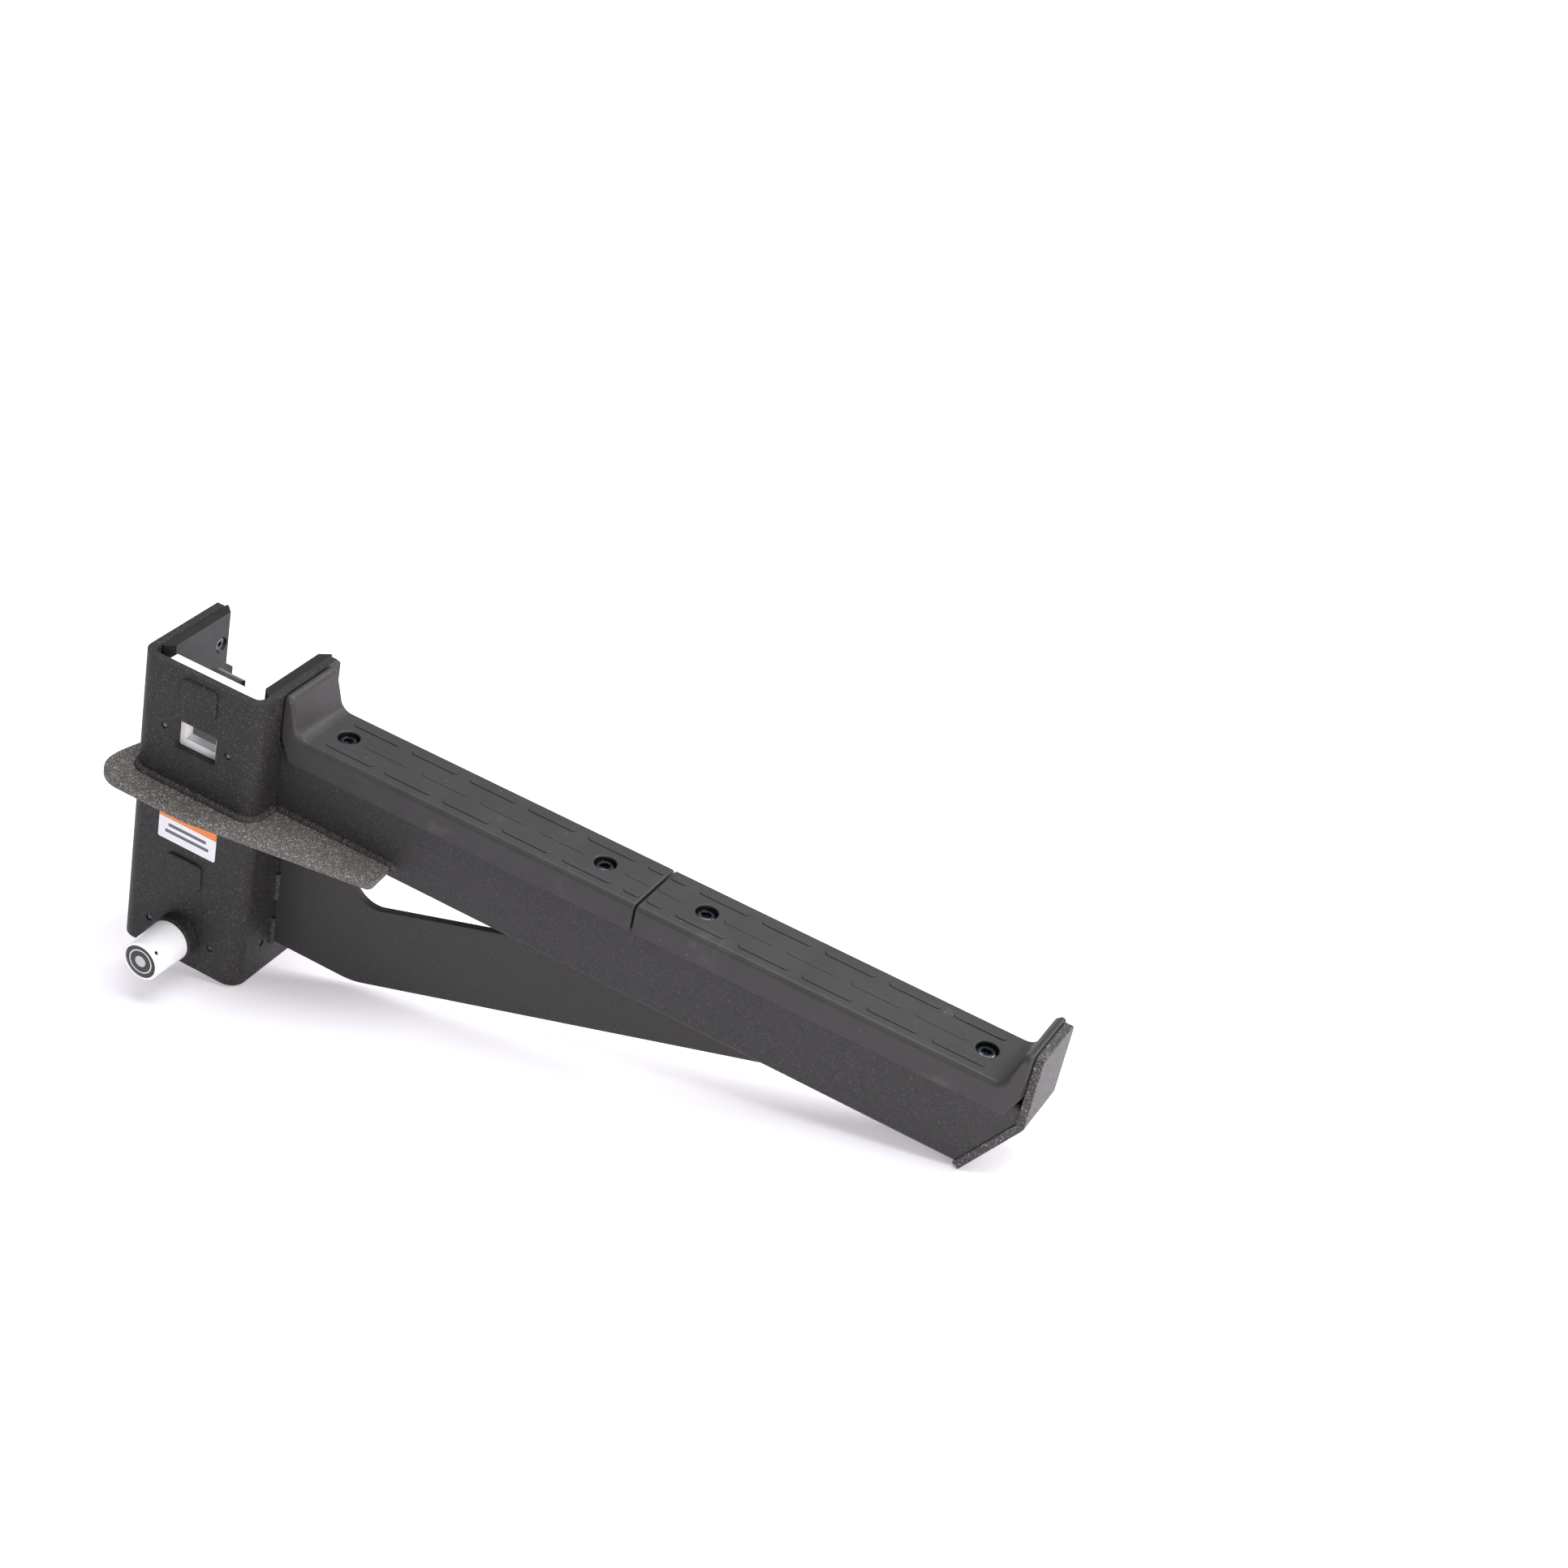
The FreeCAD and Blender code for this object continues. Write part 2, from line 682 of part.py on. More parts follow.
def build_hook(which):
    """Steel lug through the web, with a lip that drops behind the upright's wall."""
    level = HOOK_LEVELS[which]
    body = new_body(f"{which}_hook")
    low = level - s.hook_height / 2
    lip = low - s.hook_drop
    profile = [
        (-HALF_OUTSIDE, low),
        (HOOK_BACK, low),
        (HOOK_BACK, lip),
        (HOOK_FACE, lip),
        (HOOK_FACE, hook_top(level, HOOK_FACE)),
        (HOOK_TURN, level + s.hook_height / 2),
        (-HALF_OUTSIDE, level + s.hook_height / 2),
    ]
    pad(body, sketch_on(body, "YZ_Plane", 0, [profile]), s.hook_width, midplane=True)
    half_width, half_height = s.tail_width / 2, s.tail_height / 2
    tail = box_loop(-half_width, level - half_height, half_width, level + half_height)
    pad(body, sketch_on(body, "XZ_Plane", HALF_OUTSIDE, [tail]), s.tail_proud)
    middle = -HALF_OUTSIDE - s.tail_proud / 2
    outer = -HALF_OUTSIDE - s.tail_proud
    sides = (-half_width, half_width)
    heights = (level - half_height, level + half_height)
    dress(body, "Fillet", s.tail_corner, [(x, middle, z) for x in sides for z in heights])
    dress(body, "Fillet", s.tail_round, [(sides[1], outer, level)])
    bore = s.cap_screw_radius + s.screw_play
    screw = sketch_on(body, "XZ_Plane", -HOOK_FACE, circles=[(0 * level, level - s.hook_drop / 2, bore)])
    cut(body, screw, 2 * (s.cap_screw_length - s.hook_cap_thick + 1))


def build_hook_cap(which):
    """Plastic face on the hook's lip."""
    level = HOOK_LEVELS[which]
    body = new_body(f"{which}_hook_cap")
    lip = level - s.hook_height / 2 - s.hook_drop
    profile = [
        (HOOK_FACE, lip),
        (CAP_FACE, lip),
        (CAP_FACE, hook_top(level, CAP_FACE)),
        (HOOK_FACE, hook_top(level, HOOK_FACE)),
    ]
    pad(body, sketch_on(body, "YZ_Plane", 0, [profile]), s.hook_width, midplane=True)
    middle = level - s.hook_drop / 2
    rim = [
        (0, CAP_FACE, lip),
        (0, CAP_FACE, hook_top(level, CAP_FACE)),
        (-s.hook_width / 2, CAP_FACE, middle),
        (s.hook_width / 2, CAP_FACE, middle),
    ]
    dress(body, "Fillet", s.hook_cap_thick / 4, rim)
    bore = s.cap_screw_radius + s.screw_play
    cut(body, sketch_on(body, "XZ_Plane", -CAP_FACE, circles=[(0 * level, middle, bore)]), 3 * s.hook_cap_thick)
    sink = s.cap_screw_head - s.cap_screw_radius + s.screw_sink
    dress(body, "Chamfer", sink, [(0, CAP_FACE, middle + bore)])


def flat_head_screw(radius, head, length, key):
    """Countersunk socket screw along -Z, its head's face at the origin."""
    radius, head, length = float(radius), float(head), float(length)
    sink = head - radius
    shank = Part.makeCylinder(radius, length - 1, Vector(0, 0, -length + 1))
    point = Part.makeCone(radius, radius - 0.6, 1, Vector(0, 0, 1 - length), Vector(0, 0, -1))
    cone = Part.makeCone(radius, head, sink, Vector(0, 0, -sink))
    socket = hexagon(key, sink).translated(Vector(0, 0, -sink + 0.4))
    return shank.fuse([cone, point]).cut(socket).removeSplitter()


def build_cap_screws():
    """The screw in the face of each hook cap."""
    screw = flat_head_screw(s.cap_screw_radius, s.cap_screw_head, s.cap_screw_length, 2.5)
    face = CAP_FACE - s.screw_sink
    spots = [(0, face, level - s.hook_drop / 2) for level in HOOK_LEVELS.values()]
    group("hook_cap_screws", [placed(screw, spot, (0, 1, 0)) for spot in spots])


# ---------------------------------------------------------------- liners

def web_liner(label, low, height, window):
    """Plastic plate against the inside of the web."""
    body = new_body(label)
    half = s.web_liner_width / 2
    outline = box_loop(-half, low, half, low + height)
    middle = -(HALF_OPENING + s.liner_thick / 2)
    sketch = sketch_on(body, "XZ_Plane", -middle, [outline])
    pad(body, sketch, s.liner_thick, midplane=True)
    corners = [(x, middle, z) for x in (-half, half) for z in (low, low + height)]
    dress(body, "Chamfer", s.web_liner_corner, corners)
    level = s.web_screw_level if label == "upper_web_liner" else 0 * s.web_screw_level
    holes = [(side * WEB_SCREW, level, SCREW_HOLE) for side in (-1, 1)]
    cut(body, sketch_on(body, "XZ_Plane", -middle, window, holes), s.liner_thick + 2)
    rims = [(side * WEB_SCREW, -HALF_OPENING, level + SCREW_HOLE) for side in (-1, 1)]
    dress(body, "Chamfer", s.liner_screw_head - s.liner_screw_radius + s.liner_screw_sink, rims)


def build_web_liners():
    """White upper liner round the top hook, black lower liner round the pin."""
    gap = s.liner_hole_gap
    half_hook = s.hook_width / 2 + gap
    level = HOOK_LEVELS["upper"]
    hook_hole = box_loop(-half_hook, level - s.hook_height / 2 - gap, half_hook, level + s.hook_height / 2 + gap)
    half = s.liner_window_width / 2
    sight = box_loop(-half, s.liner_window_low, half, s.liner_window_high)
    top = CHANNEL_TOP - s.side_liner_drop
    web_liner("upper_web_liner", top - s.web_liner_tall, s.web_liner_tall, [hook_hole, sight])
    half_width, half_height = s.pin_window_width / 2, s.pin_window_height / 2
    pin_hole = box_loop(-half_width, -half_height, half_width, half_height)
    web_liner("lower_web_liner", CHANNEL_LOW + s.side_liner_drop, s.web_liner_short, [pin_hole])


def build_side_liner(where, side):
    """Plastic plate inside one flange, with both upright edges bevelled."""
    name = "arm_side" if side > 0 else "free_side"
    body = new_body(f"{where}_{name}_liner")
    front, level = side_liner_place(where)
    outline = [
        (side * HALF_INSIDE, SIDE_LINER_BACK),
        (side * (HALF_INSIDE - s.side_liner_land), SIDE_LINER_BACK),
        (side * HALF_OPENING, SIDE_LINER_BACK + s.side_liner_bevel),
        (side * HALF_OPENING, front - s.side_liner_bevel),
        (side * (HALF_INSIDE - s.side_liner_land), front),
        (side * HALF_INSIDE, front),
    ]
    low = level - s.side_liner_height / 2
    pad(body, sketch_on(body, "XY_Plane", low, [outline]), s.side_liner_height)
    spots = [SIDE_LINER_BACK + s.side_screw_rear, front - s.side_screw_front]
    middle = side * (HALF_OPENING + s.liner_thick / 2)
    holes = [(y, level, SCREW_HOLE) for y in spots]
    cut(body, sketch_on(body, "YZ_Plane", middle, circles=holes), s.liner_thick + 2)
    rims = [(side * HALF_OPENING, y, level + SCREW_HOLE) for y in spots]
    dress(body, "Chamfer", s.liner_screw_head - s.liner_screw_radius + s.liner_screw_sink, rims)


def build_liner_screws():
    """Countersunk screws of all the liners, in two groups."""
    length = s.liner_thick + s.plate_thick - s.liner_screw_sink - s.liner_screw_short
    screw = flat_head_screw(s.liner_screw_radius, s.liner_screw_head, length, 3.0)
    face = HALF_OPENING + s.liner_screw_sink
    shapes = []
    for side in (-1, 1):
        shapes += [placed(screw, (side * face, y, z), (-side, 0, 0)) for y, z in side_screws()]
    group("side_liner_screws", shapes)
    group("web_liner_screws", [placed(screw, (x, -face, z), (0, 1, 0)) for x, z in web_screws()])


# ---------------------------------------------------------------- pads

def build_pad(label, start, way):
    """Plastic cover for half of the arm, with an upstand at its outer end.

    start is the pad's outer end and way is 1 or -1, the direction to its inner end.
    """
    body = new_body(label)
    length = s.arm_reach / 2 - s.pad_end_gap - s.pad_joint_gap / 2
    skirt = ARM_TOP - s.pad_overlap
    top = PAD_TOP + s.upstand_height
    inner = start + way * length
    front = start + way * s.upstand_thick
    foot = start + way * s.upstand_foot_thick
    profile = [
        (start, skirt + s.skirt_cut_height),
        (start, top),
        (front, top),
        (foot, PAD_TOP),
        (inner, PAD_TOP),
        (inner, skirt),
        (start + way * s.skirt_cut_length, skirt),
    ]
    pad(body, sketch_on(body, "XZ_Plane", 0, [profile]), 2 * HALF_PAD, midplane=True)
    middle = start + way * s.upstand_thick / 2
    half = HALF_PAD
    dress(body, "Fillet", s.upstand_corner, [(middle, y, top) for y in (-half, half)])
    dress(body, "Fillet", s.upstand_foot, [(foot, 0, PAD_TOP)])
    along = start + way * length / 2
    rims = [(along, y, PAD_TOP) for y in (-half, half)]
    dress(body, "Chamfer", s.pad_bevel, rims)
    dress(body, "Fillet", s.upstand_thick / 3, [(start, 0, top)])
    saddle = HALF_ARM + s.pad_side_gap
    under = box_loop(-saddle, skirt - PAST, saddle, ARM_TOP)
    cut(body, sketch_on(body, "YZ_Plane", along, [under]), length + PAST)
    spots = [x for x in pad_bolts() if abs(float(x) - float(along)) < float(length) / 2]
    recess = [(x, 0 * x, s.recess_radius) for x in spots]
    cut(body, sketch_on(body, "XY_Plane", PAD_TOP, circles=recess), 2 * s.recess_depth)
    holes = [(x, 0 * x, BOLT_HOLE) for x in spots]
    cut(body, sketch_on(body, "XY_Plane", PAD_TOP, circles=holes), 2 * s.pad_cover + 2)


def build_pad_fasteners():
    """Bolt, washer and captive nut at each of the pads' four fixing points."""
    seat = PAD_TOP - s.recess_depth
    under_head = seat + s.washer_thick
    nut_low = ARM_TOP - s.arm_wall - s.nut_thick
    shank = float(under_head - nut_low) + 2
    radius, head = float(s.pad_bolt_radius), float(s.pad_bolt_head)
    height = float(s.pad_bolt_head_height)
    bolt = Part.makeCylinder(radius, shank, Vector(0, 0, -shank)).fuse(Part.makeCylinder(head, height))
    bolt = bolt.cut(hexagon(s.pad_bolt_socket, height).translated(Vector(0, 0, height * 0.4)))
    bolt = bolt.removeSplitter()
    rim = [edge for edge in bolt.Edges if abs(edge.BoundBox.ZMin - height) < 1e-6]
    widest = max(rim, key=lambda edge: edge.BoundBox.XLength)
    bolt = bolt.makeFillet(height / 5, [widest])
    bore = float(BOLT_HOLE)
    thick = float(s.washer_thick)
    washer = Part.makeCylinder(float(s.washer_radius), thick).cut(Part.makeCylinder(bore, thick))
    nut_thick = float(s.nut_thick)
    nut = hexagon(s.nut_across, nut_thick).cut(Part.makeCylinder(bore, nut_thick))
    for label, shape, level in (
        ("pad_bolts", bolt, under_head),
        ("pad_bolt_washers", washer, seat),
        ("pad_bolt_nuts", nut, nut_low),
    ):
        group(label, [placed(shape, (x, 0, level), (0, 0, 1)) for x in pad_bolts()])


# ---------------------------------------------------------------- spring pin
# Everything here is turned about the Y axis. The pin points to +Y.

COLLAR_FACE = -HALF_OUTSIDE - s.housing_collar_height
HOUSING_NOSE = s.housing_nose - HALF_INSIDE
BARREL_END = COLLAR_FACE - s.housing_barrel
CHAMBER_END = BARREL_END + s.housing_wall
BUSHING_BACK = HOUSING_NOSE - s.bushing_length
CHAMBER_RADIUS = s.housing_neck_radius - s.housing_wall
SHOULDER_FRONT = BUSHING_BACK - s.seat_gap
SHOULDER_BACK = SHOULDER_FRONT - s.shoulder_thick
PIN_TIP = s.pin_reach - HALF_OPENING
STEM_END = SHOULDER_BACK - s.stem_length
WASHER_FRONT = SHOULDER_BACK - s.seat_gap
WASHER_BACK = WASHER_FRONT - s.thrust_thick
KNOB_BASE = COLLAR_FACE - s.knob_gap
KNOB_END = KNOB_BASE - s.knob_length
GUIDE_RADIUS = s.pin_radius + s.guide_step
ZERO = 0 * s.pin_radius


def build_housing():
    """Collar, spring barrel and bushing seat of the pull pin."""
    body = new_body("pin_housing")
    neck = s.housing_neck_radius
    stem_hole = s.stem_radius + s.stem_play
    collar = s.housing_collar_radius
    edge = s.seat_gap * 20
    turned(body, [
        (CHAMBER_RADIUS, HOUSING_NOSE),
        (neck, HOUSING_NOSE),
        (neck, -HALF_OUTSIDE),
        (collar, -HALF_OUTSIDE),
        (collar, COLLAR_FACE + edge),
        (collar - edge, COLLAR_FACE),
        (neck, COLLAR_FACE),
        (neck, BARREL_END),
        (stem_hole, BARREL_END),
        (stem_hole, CHAMBER_END),
        (CHAMBER_RADIUS, CHAMBER_END),
    ])


def ring(label, inner, outer, low, high):
    """A plain turned ring."""
    turned(new_body(label), box_loop(inner, low, outer, high))


def build_pin():
    """Locking pin: chamfered nose, guided length, spring shoulder and a stem for the knob."""
    body = new_body("lock_pin")
    turned(body, [
        (ZERO, PIN_TIP),
        (s.pin_radius - s.pin_nose, PIN_TIP),
        (s.pin_radius, PIN_TIP - s.pin_nose),
        (s.pin_radius, -HALF_OPENING),
        (GUIDE_RADIUS, -HALF_OPENING),
        (GUIDE_RADIUS, SHOULDER_FRONT),
        (s.shoulder_radius, SHOULDER_FRONT),
        (s.shoulder_radius, SHOULDER_BACK),
        (s.stem_radius, SHOULDER_BACK),
        (s.stem_radius, STEM_END),
        (ZERO, STEM_END),
    ])


def build_spring():
    """Compression spring between the thrust washer and the barrel's end wall."""
    reach = float(WASHER_BACK - CHAMBER_END - 2 * s.spring_wire - 2 * s.seat_gap)
    radius = float(s.spring_radius)
    path = Part.makeHelix(reach / float(s.spring_turns), reach, radius)
    section = Part.Circle(Vector(radius, 0, 0), Vector(0, 1, 0), float(s.spring_wire))
    coil = path.makePipeShell([Part.Wire([section.toShape()])], True, False)
    start = (0, CHAMBER_END + s.spring_wire + s.seat_gap, 0)
    group("pin_spring", [placed(coil, start, (0, 1, 0))])


def build_knob():
    """Hollow pull knob that slides over the spring barrel."""
    body = new_body("pull_knob")
    cavity = s.housing_neck_radius + s.knob_cavity_gap
    floor = KNOB_END + s.knob_end_wall
    recess = KNOB_END + s.badge_recess
    bore = s.stem_radius + s.housing_fit
    seat = s.badge_radius + s.badge_gap
    turned(body, [
        (cavity, KNOB_BASE),
        (s.knob_base_radius, KNOB_BASE),
        (s.knob_end_radius, KNOB_END),
        (seat, KNOB_END),
        (seat, recess),
        (bore, recess),
        (bore, floor),
        (cavity, floor),
    ])
    rims = [(0, KNOB_BASE, s.knob_base_radius), (0, KNOB_END, s.knob_end_radius)]
    dress(body, "Fillet", s.knob_round, rims)
    hole = [(set_screw_level(), ZERO, s.set_screw_radius + s.screw_play)]
    drill = sketch_on(body, "YZ_Plane", ZERO, circles=hole)
    turn = Rotation(Vector(1, 0, 0), -SIZES["set_screw_turn"])
    drill.AttachmentOffset = Placement(Vector(0, 0, 0), turn)
    cut(body, drill, s.knob_base_radius + PAST, one_way=True)


def set_screw_level():
    """Y of the knob's set screw."""
    return KNOB_END + s.set_screw_setback


def build_set_screw():
    """Socket set screw that locks the knob to the pin's stem."""
    start = float(s.stem_radius)
    length = float(s.knob_end_radius - s.set_screw_sink) - start
    radius = float(s.set_screw_radius)
    screw = Part.makeCylinder(radius, length, Vector(0, 0, start))
    socket = hexagon(radius, radius).translated(Vector(0, 0, start + length - radius))
    turn = math.radians(SIZES["set_screw_turn"])
    outward = (math.cos(turn), 0, math.sin(turn))
    group("knob_set_screw", [placed(screw.cut(socket), (0, set_screw_level(), 0), outward)])


def build_spring_pin():
    """The whole pull-pin assembly, from the housing out to the knob."""
    build_housing()
    bore = GUIDE_RADIUS + s.pin_running
    ring("guide_bushing", bore, CHAMBER_RADIUS, BUSHING_BACK, HOUSING_NOSE)
    build_pin()
    ring("thrust_washer", s.stem_radius + s.stem_play, s.thrust_radius, WASHER_BACK, WASHER_FRONT)
    build_spring()
    build_knob()
    recess = KNOB_END + s.badge_recess
    ring("knob_badge", ZERO, s.badge_radius, recess - s.badge_thick, recess)
    build_set_screw()


# ---------------------------------------------------------------- stickers

def build_stickers():
    """Instruction sticker on the web and name plate area on the arm's side."""
    body = new_body("web_sticker")
    half = s.sticker_width / 2
    loop = box_loop(-half, s.sticker_level, half, s.sticker_level + s.sticker_height)
    pad(body, sketch_on(body, "XZ_Plane", HALF_OUTSIDE, [loop]), s.sticker_thick)
    body = new_body("arm_decal")
    start = HALF_OUTSIDE + s.decal_start
    low = s.arm_level + s.decal_level
    loop = box_loop(start, low, start + s.decal_length, low + s.decal_height)
    sketch = sketch_on(body, "XZ_Plane", -HALF_ARM, [loop])
    pad(body, sketch, s.sticker_thick, reverse=True)


def check_document():
    """Stop if any object failed to build or any sub-part's shape is unsound."""
    for thing in doc.Objects:
        if "Invalid" in thing.State or "Error" in thing.State:
            raise RuntimeError(f"{thing.Label} did not build: {thing.State}")
    for node in nodes:
        if node.Shape.isNull() or not node.Shape.isValid() or not node.Shape.Solids:
            raise RuntimeError(f"{node.Label} has no sound shape")


def write_parts():
    """Write each sub-part to its own file."""
    os.makedirs(FOLDER, exist_ok=True)
    for node in nodes:
        node.Shape.exportStep(f"{FOLDER}/{node.Label}.step")
        box = node.Shape.BoundBox
        print(f"{node.Label:26s} solids {len(node.Shape.Solids)}  volume {node.Shape.Volume:12.1f}"
              f"  x {box.XMin:7.1f} {box.XMax:7.1f}  y {box.YMin:7.1f} {box.YMax:7.1f}"
              f"  z {box.ZMin:7.1f} {box.ZMax:7.1f}")


def main():
    """Build every sub-part, check them and write them out."""
    build_channel()
    build_arm()
    build_end_plate()
    build_lower_gusset()
    build_wrap_gusset()
    build_weld_beads()
    for which in HOOK_LEVELS:
        build_hook(which)
        build_hook_cap(which)
    build_cap_screws()
    build_web_liners()
    for where in ("upper", "lower"):
        for side in (-1, 1):
            build_side_liner(where, side)
    build_liner_screws()
    build_pad("rear_pad", HALF_OUTSIDE + s.pad_end_gap, 1)
    build_pad("tip_pad", ARM_END - s.pad_end_gap, -1)
    build_pad_fasteners()
    build_spring_pin()
    build_stickers()
    doc.recompute()
    check_document()
    write_parts()


main()
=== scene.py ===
"""Looks of a power rack safety spotter arm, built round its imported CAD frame."""

import logging
import math
from dataclasses import dataclass, field, replace
from enum import Enum
from typing import Iterable, Sequence, Union

import bmesh
import bpy
from bmesh.types import BMEdge, BMVert, BMesh
from bpy.types import Material, Mesh, Node, NodeSocket, NodeTree, Object, World
from mathutils import Euler, Matrix, Vector


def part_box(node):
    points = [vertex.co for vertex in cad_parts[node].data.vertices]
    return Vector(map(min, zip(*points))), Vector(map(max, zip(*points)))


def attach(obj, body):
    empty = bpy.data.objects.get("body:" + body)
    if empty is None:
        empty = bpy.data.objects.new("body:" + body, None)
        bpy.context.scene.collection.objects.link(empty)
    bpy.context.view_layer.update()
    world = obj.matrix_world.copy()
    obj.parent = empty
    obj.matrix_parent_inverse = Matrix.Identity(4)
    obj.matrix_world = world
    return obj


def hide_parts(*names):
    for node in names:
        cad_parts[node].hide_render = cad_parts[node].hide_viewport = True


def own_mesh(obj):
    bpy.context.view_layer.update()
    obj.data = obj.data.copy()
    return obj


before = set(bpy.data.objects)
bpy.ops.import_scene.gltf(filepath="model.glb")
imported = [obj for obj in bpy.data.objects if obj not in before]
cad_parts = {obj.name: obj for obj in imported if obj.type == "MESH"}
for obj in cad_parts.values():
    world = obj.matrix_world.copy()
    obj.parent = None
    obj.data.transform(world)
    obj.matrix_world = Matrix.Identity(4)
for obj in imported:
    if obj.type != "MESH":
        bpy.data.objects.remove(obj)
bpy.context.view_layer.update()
LOG = logging.getLogger("spotter_arm")
MM = 0.001
UP = Vector((0, 0, 1))
INWARD = Vector((0, 1, 0))
WELD_DISTANCE = 1e-6
FLAT_ANGLE = 0.4
ROOM_BESIDE = 1.25
BEAD_SIDES = 14
BEAD_SAMPLES = 5.0
BEAD_WANDER = 160.0
FASTENER_CREASE = 30.0
FRAME_BODY = "arm_frame"
PIN_BODY = "pull_pin"

Colour = tuple[float, float, float]
Link = Union["Wire", NodeSocket, float, int, bool, Sequence[float]]


# ------------------------------------------------------------------ node helpers


class Tree:
    """A node tree under construction: shader or geometry."""

    def __init__(self, tree: NodeTree) -> None:
        """Keeps the node tree to fill."""
        self.tree = tree

    def node(self, kind: str, settings: dict | None = None, inputs: dict | None = None) -> Node:
        """Adds one node.

        Args:
            kind: the node's type name.
            settings: its properties, set first.
            inputs: values or links of its sockets, by name or index.

        Returns:
            The new node.
        """
        made = self.tree.nodes.new(kind)
        for name, value in (settings or {}).items():
            setattr(made, name, value)
        for name, value in (inputs or {}).items():
            self.plug(made.inputs[name], value)
        return made

    def plug(self, socket: NodeSocket, value: Link) -> None:
        """Links or sets one input socket.

        Args:
            socket: the input.
            value: a Wire or socket to link, or a plain value.
        """
        if isinstance(value, Wire):
            value = value.socket
        if isinstance(value, NodeSocket):
            self.tree.links.new(value, socket)
        elif socket.type == "RGBA" and len(value) == 3:
            socket.default_value = (*value, 1.0)
        else:
            socket.default_value = value

    def wire(
        self, kind: str, settings: dict | None = None, inputs: dict | None = None, out: str | int = 0
    ) -> "Wire":
        """Adds a node and returns one of its outputs as a Wire."""
        return Wire(self, self.node(kind, settings, inputs).outputs[out])


class Wire:
    """A number socket that can be used in Python arithmetic."""

    def __init__(self, tree: Tree, socket: NodeSocket) -> None:
        """Keeps the socket and its tree."""
        self.tree = tree
        self.socket = socket

    def maths(self, operation: str, *others: Link) -> "Wire":
        """Adds a Math node with this value first and the others after it."""
        inputs = dict(enumerate((self, *others)))
        return self.tree.wire("ShaderNodeMath", {"operation": operation}, inputs)

    def reflected(self, operation: str, other: float) -> "Wire":
        """Adds a Math node with this value second."""
        return self.tree.wire("ShaderNodeMath", {"operation": operation}, {0: other, 1: self})

    def __add__(self, other: Link) -> "Wire":
        """Sum."""
        return self.maths("ADD", other)

    def __radd__(self, other: float) -> "Wire":
        """Sum, reflected."""
        return self.reflected("ADD", other)

    def __sub__(self, other: Link) -> "Wire":
        """Difference."""
        return self.maths("SUBTRACT", other)

    def __rsub__(self, other: float) -> "Wire":
        """Difference, reflected."""
        return self.reflected("SUBTRACT", other)

    def __mul__(self, other: Link) -> "Wire":
        """Product."""
        return self.maths("MULTIPLY", other)

    def __rmul__(self, other: float) -> "Wire":
        """Product, reflected."""
        return self.reflected("MULTIPLY", other)

    def __truediv__(self, other: Link) -> "Wire":
        """Quotient."""
        return self.maths("DIVIDE", other)

    def __pow__(self, other: Link) -> "Wire":
        """Power."""
        return self.maths("POWER", other)

    def __lt__(self, other: Link) -> "Wire":
        """1 where this is less."""
        return self.maths("LESS_THAN", other)

    def __gt__(self, other: Link) -> "Wire":
        """1 where this is greater."""
        return self.maths("GREATER_THAN", other)

    def __abs__(self) -> "Wire":
        """Size without sign."""
        return self.maths("ABSOLUTE")

    def eased(self, low: float, high: float) -> "Wire":
        """0 below low, 1 above high, smooth between them."""
        return self.tree.wire(
            "ShaderNodeMapRange",
            {"interpolation_type": "SMOOTHSTEP"},
            {"Value": self, "From Min": low, "From Max": high},
        )


